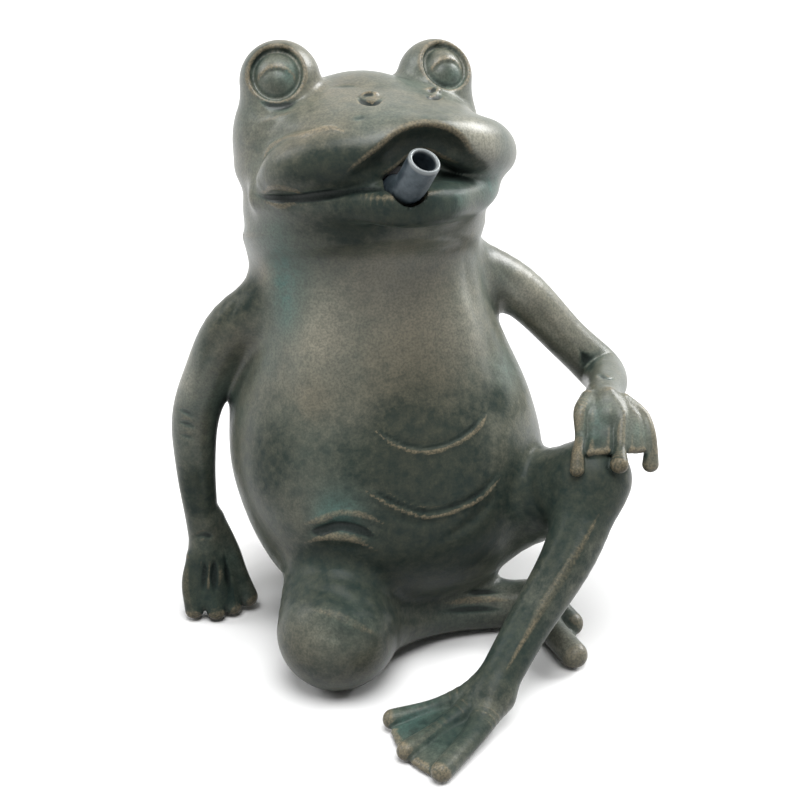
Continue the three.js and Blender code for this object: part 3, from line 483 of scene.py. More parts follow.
def web_paths(first, second, length, thickness, dip, drop):
    """Lines between two digits, up to a share of their length, as rows of x, y, z and radius."""
    first, second = smooth_path(first, steps=8), smooth_path(second, steps=8)
    count = min(len(first), len(second))
    first = first[np.linspace(0, len(first) - 1, count).astype(int)]
    second = second[np.linspace(0, len(second) - 1, count).astype(int)]
    paths = []
    for share in WEB_SHARES:
        path = first * (1 - share) + second * share
        arch = 1 - dip * (1 - (2 * share - 1) ** 2)
        path = path[:max(FEWEST_ROWS, int(round(count * length * arch)))].copy()
        thinner = path[:, 3] - np.minimum(path[:, 3], thickness)
        path -= thinner[:, None] * (0, 0, drop, 1)
        paths.append(path)
    return paths


def paw(palm, digits, length, thickness, dip, drop, soft, web_soft):
    """A hand or foot: its palm, its digits and the webs between neighbours.

    A web covers a share of the digits' length, and its edge dips between them. It is thinner than they are and
    drops by a share of the difference.
    """
    digit_paths = [smooth_path(rows) for rows in digits]
    pairs = zip(digits[:-1], digits[1:])
    webs = [path for a, b in pairs for path in web_paths(a, b, length, thickness, dip, drop)]

    def field(p):
        d = tube(p, smooth_path(palm)) if palm else np.full(len(p), FAR, np.float32)
        sheet = np.full(len(p), FAR, np.float32)
        for path in webs:
            sheet = blend(sheet, tube(p, path), web_soft)
        for path in digit_paths:
            d = blend(d, tube(p, path), soft)
        return blend(d, sheet, soft)

    return field


right_hand_base = paw(
    RIGHT_PALM, RIGHT_FINGERS, length=0.9, thickness=2.4, dip=0.06, drop=0.0, soft=1.2, web_soft=3.0)
left_hand_base = paw(
    LEFT_PALM, LEFT_FINGERS, length=0.8, thickness=1.4, dip=0.05, drop=0.0, soft=1.2, web_soft=5.0)
right_foot_base = paw(
    None, RIGHT_TOES, length=0.95, thickness=2.4, dip=0.05, drop=1.0, soft=1.8, web_soft=5.0)
left_foot_base = paw(
    None, LEFT_TOES, length=1.0, thickness=1.9, dip=0.0, drop=1.0, soft=1.4, web_soft=6.0)
print("digits:", len(RIGHT_FINGERS) + len(LEFT_FINGERS) + len(RIGHT_TOES) + len(LEFT_TOES))

# %% [markdown]
# ## Folds and ridges of the skin
# The modeller drew creases into the clay with a tool and raised ridges with thin rolls. Here each one is a
# line of pixels on the photograph, traced onto the mass that carries it. A positive depth presses a groove
# and a negative one raises a ridge. Both fade sideways like a bell curve and run out at their ends, so that
# no hard edge is left.

# %% Marks, as pixels along a line, depth and half width in millimetres
FADE = 2.6
RUN_OUT = 1.4
HEAD_MARKS = [
    ([(326, 88), (345, 86), (364, 88)], 0.5, 1.3),
    ([(254, 98), (270, 105), (286, 105), (302, 98)], 0.9, 1.4),
    ([(258, 124), (276, 118), (298, 111)], -0.6, 2.2),
    ([(263, 160), (270, 150), (281, 142), (305, 135), (330, 129), (345, 132)], -1.5, 1.5),
    ([(252, 194), (275, 199), (300, 198), (330, 194), (362, 190)], 1.4, 1.4),
    ([(262, 193), (276, 187), (295, 190), (303, 196)], -0.8, 1.4),
    ([(264, 201), (280, 205), (298, 201)], -0.7, 1.6),
    ([(340, 191), (372, 189), (398, 190)], 1.0, 1.5),
    ([(359, 96), (365, 102), (373, 103.5), (383, 98)], 3.0, 1.2),
    ([(366, 93), (371, 92.5)], 2.0, 1.0),
    ([(425, 94), (431, 98), (437, 97), (442, 92)], 2.4, 1.1),
    ([(431, 90), (435, 88)], 1.8, 1.0),
    ([(357, 118), (362, 117)], 0.5, 1.6),
    ([(345, 212), (390, 214), (440, 208), (474, 200)], 0.6, 3.5),
]
TRUNK_MARKS = [
    ([(372, 425), (386, 435), (404, 444), (430, 447), (459, 437), (478, 421), (487, 408)], 0.7, 1.1),
    ([(374, 430), (388, 440), (405, 449), (430, 452), (460, 442), (480, 426), (489, 412)], -0.55, 1.0),
    ([(362, 484), (383, 496), (404, 506), (430, 512), (459, 504), (482, 491), (503, 467)], 0.8, 1.1),
    ([(362, 489), (383, 501), (404, 511), (430, 517), (460, 509), (484, 496), (505, 472)], -0.6, 1.0),
    ([(380, 482), (400, 496), (424, 503), (452, 500)], 0.4, 1.0),
    ([(372, 500), (396, 516), (420, 524), (448, 522)], 0.4, 1.6),
    ([(500, 490), (480, 514), (462, 529), (440, 540)], 0.7, 2.0),
    ([(304, 524), (319, 519), (340, 512), (365, 515), (384, 524)], -1.5, 2.2),
    ([(306, 533), (320, 531), (340, 526), (362, 531), (382, 543)], 1.7, 1.5),
    ([(304, 543), (326, 537), (352, 539), (378, 551)], -1.1, 2.0),
    ([(484, 318), (490, 350), (494, 380), (495, 410), (492, 446)], 1.2, 4.6),
    ([(464, 256), (470, 290), (478, 330)], 1.0, 4.6),
    ([(330, 280), (322, 330), (314, 380), (308, 420)], -2.2, 9.0),
    ([(392, 262), (396, 320), (402, 380)], 1.5, 10.0),
    ([(452, 280), (464, 325), (468, 375)], -1.8, 9.0),
    ([(286, 262), (284, 290), (287, 318)], 0.7, 5.0),
    ([(420, 240), (446, 234), (470, 229)], 0.7, 2.4),
]
RIGHT_ARM_MARKS = [
    ([(175, 409), (186, 412), (198, 420)], 0.8, 1.1),
    ([(175, 421), (187, 424), (200, 431)], 0.8, 1.1),
    ([(176, 433), (188, 437), (198, 441)], 0.6, 1.0),
    ([(244, 292), (226, 322), (210, 352), (198, 384)], 0.9, 2.6),
    ([(196, 450), (200, 480), (206, 512)], 0.7, 1.8),
    ([(192, 538), (205, 535), (221, 541)], 0.9, 1.2),
]
RIGHT_HAND_MARKS = [
    ([(206, 548), (204, 576), (200, 604)], 1.0, 1.5),
    ([(214, 546), (214, 576), (215, 606)], 1.3, 1.6),
    ([(223, 548), (228, 576), (233, 603)], 1.0, 1.5),
]
LEFT_ARM_MARKS = [
    ([(496, 266), (520, 292), (546, 322), (570, 352)], 0.9, 3.0),
    ([(576, 344), (586, 360), (592, 378)], 0.9, 1.6),
    ([(596, 372), (606, 378), (618, 380)], 0.8, 1.4),
]
RIGHT_THIGH_MARKS = [
    ([(306, 588), (330, 592), (356, 604), (384, 622)], 1.0, 2.6),
    ([(300, 610), (330, 614), (362, 628), (388, 640)], -1.0, 3.4),
    ([(304, 630), (334, 638), (366, 646)], 0.6, 1.8),
]
LEFT_THIGH_MARKS = [
    ([(546, 470), (557, 496), (564, 518)], 0.8, 3.0),
]
RIGHT_SHANK_MARKS = [
    ([(424, 598), (450, 594), (480, 592), (515, 592)], 0.9, 1.4),
    ([(430, 605), (455, 601), (480, 599), (512, 600)], -0.8, 1.6),
    ([(430, 614), (458, 610), (485, 609), (515, 612)], 0.9, 1.4),
]
LEFT_SHANK_MARKS = [
    ([(606, 500), (574, 558), (540, 612), (505, 672)], -0.9, 3.2),
    ([(588, 506), (560, 552), (530, 600), (498, 652)], 0.9, 2.8),
]


def relief(base, marks):
    """What grooves and ridges add to a field. Their lines have no radius, and less than none at the ends."""
    places = trace([pixel for pixels, _, _ in marks for pixel in pixels], base)
    places = np.column_stack([places, np.zeros(len(places))])
    ends = np.cumsum([len(pixels) for pixels, _, _ in marks])
    lines = []
    for rows, (_, _, width) in zip(np.split(places, ends[:-1]), marks):
        if len(rows) > 2:
            rows[[0, -1], 3] = -RUN_OUT * width
        lines.append(smooth_path(rows, steps=4))

    def field(p, widest=math.inf):
        d = np.zeros(len(p), np.float32)
        for line, (_, depth, width) in zip(lines, marks):
            if width <= widest:
                close, distance, _ = close_to(p, line, FADE * width)
                d[close] += (depth * np.exp(-(distance / width) ** 2)).astype(np.float32)
        return d

    return field


# Of each casting: its plain shape, its marks, and the fillet that joins it to those before it
CASTINGS = {
    "torso_casting": (trunk_base, TRUNK_MARKS, 1.0),
    "head_casting": (head_base, HEAD_MARKS, 13.0),
    "right_arm_casting": (limb(RIGHT_ARM), RIGHT_ARM_MARKS, 8.0),
    "left_arm_casting": (limb(LEFT_ARM), LEFT_ARM_MARKS, 8.0),
    "right_thigh_casting": (limb(RIGHT_THIGH), RIGHT_THIGH_MARKS, 7.0),
    "left_thigh_casting": (limb(LEFT_THIGH), LEFT_THIGH_MARKS, 7.0),
    "right_shank_casting": (limb(RIGHT_SHANK), RIGHT_SHANK_MARKS, 9.0),
    "left_shank_casting": (limb(LEFT_SHANK), LEFT_SHANK_MARKS, 9.0),
    "right_hand_casting": (right_hand_base, RIGHT_HAND_MARKS, 4.0),
    "left_hand_casting": (left_hand_base, [], 1.4),
    "right_foot_casting": (right_foot_base, [], 5.0),
    "left_foot_casting": (left_foot_base, [], 5.0),
}
RELIEF = {name: relief(base, marks) for name, (base, marks, _) in CASTINGS.items() if marks}


def marked(name):
    base, marks, _ = CASTINGS[name]
    return (lambda p: base(p) + RELIEF[name](p)) if marks else base


SHAPES = {name: marked(name) for name in CASTINGS}
print("marks drawn on", len(RELIEF), "of", len(SHAPES), "castings")

# %% [markdown]
# ## One skin, cut into castings
# The castings were brazed together and the joins were filed smooth, so that the skin runs on across them.
# The whole figure is therefore blended first. Then each casting is cut out of it a little past the middle
# between its own mass and its neighbour's. The rim dips under the neighbour's skin, so that no gap can show.

# %% The whole figure
SEAM_OVERLAP = 0.5
SEAM_DIP = 0.5
BOX_MARGIN = 14.0
GROUND_ROUNDING = 2.5


def node_box(name, margin):
    low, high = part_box(name)
    return np.array(low) / MM - margin, np.array(high) / MM + margin


def neighbours(name):
    low, high = node_box(name, BOX_MARGIN)
    found = []
    for other in SHAPES:
        other_low, other_high = node_box(other, BOX_MARGIN)
        if other != name and (low < other_high).all() and (other_low < high).all():
            found.append(other)
    return found


def joined(distances, level):
    """The blended skin of castings, whose distances come by name, standing flat on the ground."""
    first, *others = distances
    skin = distances[first]
    for name in others:
        fillet = CASTINGS[name][-1]
        skin = blend(skin, distances[name], fillet)
    return carve(skin, level, GROUND_ROUNDING)


def whole_figure(p):
    return joined({name: shape(p) for name, shape in SHAPES.items()}, p[:, 2])


def casting_fields(name):
    """The skin around a casting, how far a point lies past the middle of a seam, and in a fitting's room."""
    others = neighbours(name)
    names = [other for other in SHAPES if other == name or other in others]
    rooms = ROOM.get(name, [])

    def fields(p):
        distances = {other: SHAPES[other](p) for other in names}
        rival = np.minimum.reduce([distances[other] for other in others])
        past = (distances[name] - rival) / 2
        room = np.maximum.reduce([-room(p) for room in rooms]) if rooms else np.full(len(p), -FAR, np.float32)
        return joined(distances, p[:, 2]), past, room

    return fields


def casting_layers(fields):
    """The casting as the inside of two layers: its skin, and the cut towards its neighbours and fittings."""

    def layers(p):
        skin, past, room = fields(p)
        return skin + SEAM_DIP * np.maximum(past, 0), np.maximum(past - SEAM_OVERLAP, room)

    return layers


print("the torso borders on", ", ".join(neighbours("torso_casting")))

# %% [markdown]
# ## Room for the fittings
# The head and the trunk are hollow, as a large bronze casting is, because thick metal would crack as it cools.
# Their walls are thicker here than in the CAD model, so that the grid of the mesh can resolve them. The
# spout's tail runs through the lips into the head, in a rubber grommet, and turns there, so the lips leave
# room at five angles of its range. The hose fitting sits on a flat spot on the lower back, with a boss behind
# it, and a plate closes the seat.

# %% Room for the hollows, pipe, grommet, inlet and base plate
PIPE_BEND = np.array([-6.8, -57.3, -17.3])
PIPE_END = np.array([-5.2, -70.5, -5.2])
PIPE_RADIUS = 6.35
PIPE_TAIL = 44.0
PIPE_ROOM = 0.4
SPOUT_ANGLES = (-15, -7.5, 0, 7.5, 15)
BEND_LENGTH = 9.0
GROMMET_FROM = 12.0
GROMMET_RADIUS = 9.65
FITTING_ROOM = 0.3
TRUNK_WALL = 8.0
HEAD_WALL = 6.5
BOSS_WALL = 4.0
SEAT_FLOOR = 9.0
HOLLOW_FRONT = 32.0
INLET_AT = np.array([2.0, 44.0, 30.0])
BACKWARD = np.array([0.0, 1.0, 0.0])
SPOT_FACE_RADIUS = 20.3
SPOT_FACE_LENGTH = 40.0
INLET_WALL = 8.0
INLET_HOLE_RADIUS = 8.6
INLET_HOLE_DEPTH = 30.0
CUT_OVERLAP = 1.0
PLATE_AT = (2.0, 10.0)
PLATE_HALF = (29.0, 24.0)
PLATE_THICK = 3.0


def rod(start, end, radius):
    """A straight round rod with flat ends."""
    start, end = np.array(start, np.float32), np.array(end, np.float32)
    length = float(np.linalg.norm(end - start))
    way = (end - start) / length

    def field(p):
        along = (p - start) @ way
        off = p - start - along[:, None] * way
        across = np.sqrt((off * off).sum(1)) - radius
        return np.maximum(across, np.maximum(-along, along - length))

    return field


def head_rod(start, end, radius):
    return rod(from_head(start), from_head(end), radius)


def tail_at(distance):
    return PIPE_BEND + distance * BACKWARD


def turned_end(angle):
    """The end of the spout when it is turned about its tail."""
    across, ahead, up = PIPE_END - PIPE_BEND
    c, s = math.cos(math.radians(angle)), math.sin(math.radians(angle))
    return PIPE_BEND + np.array([c * across + s * up, ahead, c * up - s * across])


def bend_ends(angle):
    """Where the turned spout's bend starts and ends. The bend cuts the corner between its two arms."""
    rise = turned_end(angle) - PIPE_BEND
    return PIPE_BEND + BEND_LENGTH * rise / np.linalg.norm(rise), tail_at(BEND_LENGTH)


def head_hollow(p):
    q = in_head(p)
    return np.maximum(head_core(q) + HEAD_WALL, -q[:, 1] - HOLLOW_FRONT)


spot_face_end = INLET_AT + SPOT_FACE_LENGTH * BACKWARD
inlet_boss = rod(INLET_AT - INLET_WALL * BACKWARD, spot_face_end, SPOT_FACE_RADIUS + BOSS_WALL)


def trunk_hollow(p):
    """The hollow of the trunk, which keeps a thick boss behind the flat spot of the inlet."""
    hollow = np.maximum(trunk_mass(p) + TRUNK_WALL, SEAT_FLOOR - p[:, 2])
    return np.maximum(hollow, -inlet_boss(p))


def plate_room(p):
    across = np.hypot((p[:, 0] - PLATE_AT[0]) / PLATE_HALF[0], (p[:, 1] - PLATE_AT[1]) / PLATE_HALF[1])
    side = (across - 1) * min(PLATE_HALF) - FITTING_ROOM
    return np.maximum(side, p[:, 2] - PLATE_THICK - FITTING_ROOM)


ROOM = {
    "head_casting": [
        *[head_rod(turned_end(angle), PIPE_BEND, PIPE_RADIUS + PIPE_ROOM) for angle in SPOUT_ANGLES],
        *[head_rod(*bend_ends(angle), PIPE_RADIUS + PIPE_ROOM) for angle in SPOUT_ANGLES],
        lambda p: ball(in_head(p), PIPE_BEND, PIPE_RADIUS + PIPE_ROOM),
        head_rod(PIPE_BEND, tail_at(PIPE_TAIL), PIPE_RADIUS + PIPE_ROOM),
        head_rod(tail_at(GROMMET_FROM), tail_at(PIPE_TAIL), GROMMET_RADIUS + FITTING_ROOM),
        head_hollow,
    ],
    "torso_casting": [
        rod(INLET_AT, spot_face_end, SPOT_FACE_RADIUS),
        rod(INLET_AT - INLET_HOLE_DEPTH * BACKWARD, INLET_AT + CUT_OVERLAP * BACKWARD, INLET_HOLE_RADIUS),
        plate_room,
        trunk_hollow,
    ],
}
print("room cut for", sum(len(cuts) for cuts in ROOM.values()), "fittings")

# %% [markdown]
# ## Sampling a field
# The field is sampled on a grid. Most of the grid lies far from the skin, so a coarse look at blocks of cells
# comes first, and only the blocks that may hold the surface are worked out in full.

# %% Sampling
from concurrent.futures import ThreadPoolExecutor

BLOCK = 8
BLOCK_MARGIN = 1.6
CHUNK = 60000
WORKERS = 4
AXES = np.eye(3, dtype=np.float32)
CORNERS = list(np.ndindex(2, 2, 2))


def evaluate(field, p):
    """The field at many points, in chunks that share the processor's cores."""
    parts = np.array_split(p.astype(np.float32), max(1, len(p) // CHUNK))
    with ThreadPoolExecutor(WORKERS) as pool:
        return np.concatenate(list(pool.map(field, parts)), axis=-1)


def fill_blocks(values):
    """Repeat the value of each block for all of its cells."""
    for axis in range(3):
        values = np.repeat(values, BLOCK, axis)
    return values


def shifted(grid, corner, counts):
    """The part of a grid that holds this corner of every cell."""
    return grid[tuple(slice(start, start + count) for start, count in zip(corner, counts))]


def sample(field, low, step, counts):
    """The field on a grid, worked out only in blocks that may hold the surface."""
    blocks = counts // BLOCK
    middles = np.argwhere(np.ones(blocks, bool)) + 0.5
    values = evaluate(field, low + step * BLOCK * middles).reshape(blocks)
    near = np.abs(values) < BLOCK_MARGIN * step * BLOCK * math.sqrt(3) / 2
    grid = np.pad(fill_blocks(values), ((0, 1),) * 3, mode="edge").astype(np.float32)
    wanted = np.zeros(counts + 1, bool)
    fine = fill_blocks(near)
    for corner in CORNERS:
        part = shifted(wanted, corner, counts)
        part |= fine
    grid[wanted] = evaluate(field, low + step * np.argwhere(wanted))
    return grid


def slope(field, p, values, reach):
    return np.stack([evaluate(field, p + reach * axis) - values for axis in AXES], -1) / reach


print("cells in a block:", BLOCK ** 3)

# %% [markdown]
# ## From samples to a mesh
# Each cell that the surface crosses gets one vertex, and each grid edge that it crosses gets one quad between
# the four cells around it. Then the vertices slide along the slope of the field until they lie on the
# surface, and those at the rim of a cut slide onto the rim itself. A marching cubes mesh would work too, but
# it has more slivers.

# %% Skinning
SLIDES = 2
# The next three are in steps of the grid
SLOPE_REACH = 0.15
RIM_REACH = 0.9
LONGEST_SLIDE = 0.7
LEAST_SLOPE = 0.1
LEAST_SPREAD = 0.1


def cell_vertices(grid, cells):
    """The mean of the points where the surface crosses each cell's edges, in cell units."""
    total = np.zeros((len(cells), 3))
    number = np.zeros(len(cells))
    for corner in CORNERS:
        for axis in range(3):
            if corner[axis]:
                continue
            first = grid[tuple((cells + corner).T)]
            second = grid[tuple((cells + corner + np.eye(3, dtype=int)[axis]).T)]
            crossed = (first < 0) != (second < 0)
            share = first / np.where(crossed, first - second, 1)
            total[crossed] += (corner + share[:, None] * np.eye(3)[axis])[crossed]
            number[crossed] += 1
    return cells + total / number[:, None]


def cell_quads(inside, index):
    """One quad around each grid edge that the surface crosses, facing outward."""
    quads = []
    for axis in range(3):
        b, c = [k for k in range(3) if k != axis]
        head = [slice(None)] * 3
        tail = [slice(None)] * 3
        head[axis] = slice(0, -1)
        tail[axis] = slice(1, None)
        edges = np.argwhere(inside[tuple(head)] != inside[tuple(tail)])
        ring = []
        for db, dc in ((1, 1), (0, 1), (0, 0), (1, 0)):
            cell = edges.copy()
            cell[:, b] -= db
            cell[:, c] -= dc
            ring.append(index[tuple(cell.T)])
        ring = np.stack(ring, 1)
        outward = inside[tuple(edges.T)] ^ (axis == 1)
        ring[~outward] = ring[~outward][:, ::-1]
        quads.append(ring)
    return np.concatenate(quads)


def slide(layers, p, step):
    """Move vertices onto the surface, and those near the rim of a cut onto the rim."""
    for _ in range(SLIDES):
        values = evaluate(layers, p)
        slopes = slope(layers, p, values, SLOPE_REACH * step)
        top = values.argmax(0)
        pick = np.arange(len(p))
        value, way = values[top, pick], slopes[top, pick]
        move = -value[:, None] * way / np.maximum((way * way).sum(1), LEAST_SLOPE)[:, None]
        rim = (np.abs(values) < RIM_REACH * step).all(0)
        a, b = slopes[0, rim], slopes[1, rim]
        aa, bb, ab = (a * a).sum(1), (b * b).sum(1), (a * b).sum(1)
        spread = aa * bb - ab * ab
        good = spread > LEAST_SPREAD * aa * bb
        u = (-values[0, rim] * bb + values[1, rim] * ab) / np.where(good, spread, 1)
        v = (-values[1, rim] * aa + values[0, rim] * ab) / np.where(good, spread, 1)
        both = u[:, None] * a + v[:, None] * b
        move[np.flatnonzero(rim)[good]] = both[good]
        length = np.linalg.norm(move, axis=1, keepdims=True)
        p = p + (move * np.minimum(1, LONGEST_SLIDE * step / np.maximum(length, TINY))).astype(np.float32)
    return p


def skin_of(layers, low, high, step):
    """The mesh of a casting: vertices in millimetres and quads."""
    counts = (np.ceil((high - low) / step / BLOCK) * BLOCK).astype(int)
    grid = sample(lambda p: np.maximum(*layers(p)), low, step, counts)
    shell = np.ones(grid.shape, bool)
    shell[1:-1, 1:-1, 1:-1] = False
    grid[shell] = np.maximum(grid[shell], step)
    inside = grid < 0
    number = np.zeros(counts, np.uint8)
    for corner in CORNERS:
        number += shifted(inside, corner, counts)
    crossed = (number > 0) & (number < len(CORNERS))
    index = np.full(counts, -1)
    index[crossed] = np.arange(crossed.sum())
    vertices = low + step * cell_vertices(grid, np.argwhere(crossed))
    quads = cell_quads(inside, index)
    return slide(lambda p: np.stack(layers(p)), vertices.astype(np.float32), step), quads


print("each vertex slides", SLIDES, "times, by up to", LONGEST_SLIDE, "of a cell")

# %% [markdown]
# ## Patina, painted shade and painted highlights
# Verdigris grows where water stays: in hollows and between webs. The hollows also get painted shade, and the
# ridges get bare metal, partly wear and partly painted highlight. Both follow from the shape, so they are measured
# on the skin: a point that is closed in by the clay before it is a hollow, and a point where the clay bends away
# on all sides is a ridge. A narrow groove or ridge is too fine for that, so its drawn line counts as well: a
# groove gets painted shade and a raised line a painted highlight. Spots placed by pixel add what the shape alone
# can't tell, such as the warm belly, painted shade under the chin and on the lower body, and painted highlights on
# the chest, lips and edges. The mouth's hollow gets painted shade too.

# %% Spots of patina, painted shade and painted highlights, as x and y of a pixel, radius in millimetres and amount
SPOTS = {
    "verdigris": [
        (283, 262, 9, 0.7), (284, 290, 8, 0.7), (286, 318, 8, 0.4), (455, 191, 9, 0.8), (490, 186, 9, 0.8),
        (425, 198, 8, 0.5), (345, 512, 10, 0.7), (330, 520, 8, 0.6), (350, 612, 12, 0.5), (425, 715, 9, 0.9),
        (450, 735, 11, 1.0), (405, 728, 8, 0.8), (597, 420, 8, 0.6), (595, 440, 7, 0.5), (637, 430, 7, 0.4),
        (288, 74, 5, 0.6), (455, 75, 5, 0.5), (210, 600, 10, 0.5), (550, 520, 12, 0.4), (470, 610, 12, 0.4),
        (280, 232, 10, 0.4), (505, 370, 9, 0.4), (520, 640, 14, 0.3), (232, 560, 6, 0.4),
    ],
    "warmth": [
        (415, 330, 22, 0.9), (420, 400, 20, 0.9), (410, 460, 16, 0.5), (380, 260, 14, 0.5), (316, 340, 9, 0.8),
        (310, 400, 9, 0.7), (300, 140, 9, 0.7), (330, 132, 8, 0.6), (340, 90, 16, 0.6), (265, 275, 6, 1.0),
        (225, 330, 12, 0.6), (545, 300, 14, 0.5), (300, 640, 12, 0.7), (365, 655, 12, 0.5), (580, 425, 5, 0.9),
        (577, 455, 5, 0.9), (500, 700, 8, 0.6), (470, 750, 8, 0.7), (371, 97, 3, 1.4), (432, 92, 3, 1.2),
        (280, 42, 8, 0.6), (440, 42, 8, 0.6), (640, 412, 6, 0.7),
    ],
    # Painted shade: under the chin and lips, round the eyes and nostrils, and on the lower body, legs and hands
    "painted_shade": [
        (300, 225, 14, 0.25), (345, 228, 18, 0.8), (395, 226, 18, 0.9), (440, 218, 16, 0.8),
        (478, 212, 10, 0.6), (290, 170, 9, 0.6), (320, 165, 10, 0.8), (350, 165, 10, 0.9), (376, 172, 9, 1.0),
        (400, 150, 8, 1.0), (440, 140, 8, 0.9), (470, 170, 9, 0.6), (556, 505, 16, 0.8), (530, 480, 12, 0.6),
        (210, 590, 12, 0.7), (200, 570, 8, 0.5), (440, 545, 16, 0.6), (480, 530, 14, 0.6), (430, 590, 14, 0.5),
        (350, 600, 10, 0.4), (262, 480, 14, 0.4), (520, 560, 10, 0.7), (492, 300, 6, 0.7), (500, 400, 7, 0.6),
        (200, 490, 12, 0.8), (590, 480, 17, 0.9), (605, 505, 12, 0.7), (560, 560, 16, 0.5), (520, 630, 15, 0.5),
        (335, 575, 13, 0.9), (365, 582, 12, 0.7), (298, 578, 9, 0.7), (430, 542, 20, 0.9), (400, 470, 20, 0.6),
        (350, 455, 16, 0.4), (460, 475, 16, 0.6), (275, 450, 16, 0.4), (440, 722, 10, 0.4), (395, 420, 12, 0.3),
        (258, 52, 3, 0.9), (268, 46.5, 2.6, 0.9), (251, 63, 3, 0.9), (250, 77, 2.6, 0.7), (285, 49, 2.6, 0.7),
        (277, 88, 5, 0.5), (438, 44, 2.6, 0.8), (430, 56, 2.6, 0.8), (450, 72, 5, 0.6), (225, 320, 14, 0.5),
        (205, 350, 10, 0.4), (500, 670, 12, 0.5), (485, 400, 12, 0.4), (420, 390, 22, 0.35),
        (460, 430, 16, 0.4), (371, 103, 2.2, 1.0), (369, 93, 1.6, 0.9), (433, 97.5, 2.0, 0.9),
        (433, 89, 1.6, 0.8), (440, 196, 8, 0.5), (255, 300, 8, 0.4), (390, 225, 14, 0.4), (282, 197, 5, 0.6),
        (214, 580, 3, 0.8), (320, 575, 10, 0.5), (612, 425, 8, 0.35), (470, 735, 10, 0.5), (455, 715, 8, 0.4),
        (600, 455, 8, 0.4), (250, 285, 8, 0.5), (228, 308, 11, 0.35), (268, 430, 16, 0.25), (415, 385, 18, 0.2),
        (360, 82, 14, 0.2), (285, 45, 3, 0.6), (430, 542, 16, 0.5), (345, 572, 12, 0.4), (588, 478, 12, 0.4),
    ],
    # Painted highlights on the chest, lips, arms, left hand, legs and feet
    "pale": [
        (320, 340, 12, 0.55), (330, 300, 10, 0.4), (400, 300, 18, 0.45), (375, 270, 12, 0.3),
        (468, 330, 12, 0.5), (470, 290, 10, 0.4), (470, 142, 9, 1.3), (488, 152, 8, 1.1), (184, 380, 8, 0.7),
        (190, 350, 6, 0.5), (528, 288, 9, 0.7), (555, 325, 8, 0.6), (597, 425, 7, 0.5), (625, 425, 7, 0.5),
        (562, 640, 7, 0.9), (575, 655, 7, 0.8), (470, 598, 10, 0.9), (500, 598, 8, 0.8), (500, 705, 6, 0.5),
        (470, 752, 6, 0.5), (320, 630, 11, 0.5), (596, 545, 6, 0.8), (574, 585, 6, 0.6), (300, 235, 9, 0.3),
        (575, 350, 7, 0.5),
    ],
}
HOLLOW_REACHES = (2.5, 7.0)
RIDGE_REACH = 1.5
RIDGE_GAIN = 2.2
LINE_WIDTH = 1.6
# Painted shade on drawn grooves and a painted highlight on raised drawn lines: full at this depth and height, the
# shade at most this strong
LINE_DEPTH = 1.2
LINE_HEIGHT = 0.8
LINE_DARKEST = 0.8
MOUTH_SHADE = 3.0
LEAST_STEEP = 0.2

spot_places = {kind: trace([spot[:2] for spot in spots], whole_figure) for kind, spots in SPOTS.items()}


def painted(p, kind):
    total = np.zeros(len(p), np.float32)
    for place, (_, _, radius, amount) in zip(spot_places[kind], SPOTS[kind]):
        off = p - place.astype(np.float32)
        total += amount * np.exp(-(off * off).sum(1) / radius ** 2)
    return total


def weathering_and_painted_light(p, skin, lines):
    """How hollow and how ridged each point of the skin is, with its patina, painted shade and painted highlights.
    """
    values = evaluate(skin, p)
    rise = [evaluate(skin, p + RIDGE_REACH * axis) for axis in AXES]
    fall = [evaluate(skin, p - RIDGE_REACH * axis) for axis in AXES]
    slopes = np.stack([a - b for a, b in zip(rise, fall)], -1) / (2 * RIDGE_REACH)
    steep = np.maximum(np.linalg.norm(slopes, axis=1), LEAST_STEEP)
    normal = (slopes / steep[:, None]).astype(np.float32)
    bend = (sum(rise) + sum(fall) - 2 * len(AXES) * values) / (RIDGE_REACH ** 2 * steep)
    hollow = np.zeros(len(p), np.float32)
    for reach in HOLLOW_REACHES:
        room = evaluate(skin, p + reach * normal) / (reach * steep)
        hollow += np.clip(1 - room, 0, 1) / len(HOLLOW_REACHES)
    drawn = lines(p, LINE_WIDTH) if lines else np.zeros(len(p), np.float32)
    paint = {kind: painted(p, kind) for kind in SPOTS}
    # Painted shade inside the mouth, strongest in its hollow
    paint["painted_shade"] += np.clip(1 - mouth_hollow(in_head(p)) / MOUTH_SHADE, 0, 1)
    return {
        # Hollows and drawn grooves carry verdigris and painted shade; ridges and raised lines carry bare metal and
        # painted highlights
        "hollow": hollow + np.clip(drawn / LINE_DEPTH, 0, LINE_DARKEST),
        "ridge": np.clip(RIDGE_GAIN * bend + np.clip(-drawn / LINE_HEIGHT, 0, 1), -1, 1),
        **paint,
    }


print("spots of patina:", {kind: len(spots) for kind, spots in SPOTS.items()})

# %% [markdown]
# ## Finishes
# A short helper wires up nodes: it makes one, sets its values and links what is passed as a link. Each
# finish works from object coordinates and from the measured attributes, so none of them needs a picture.

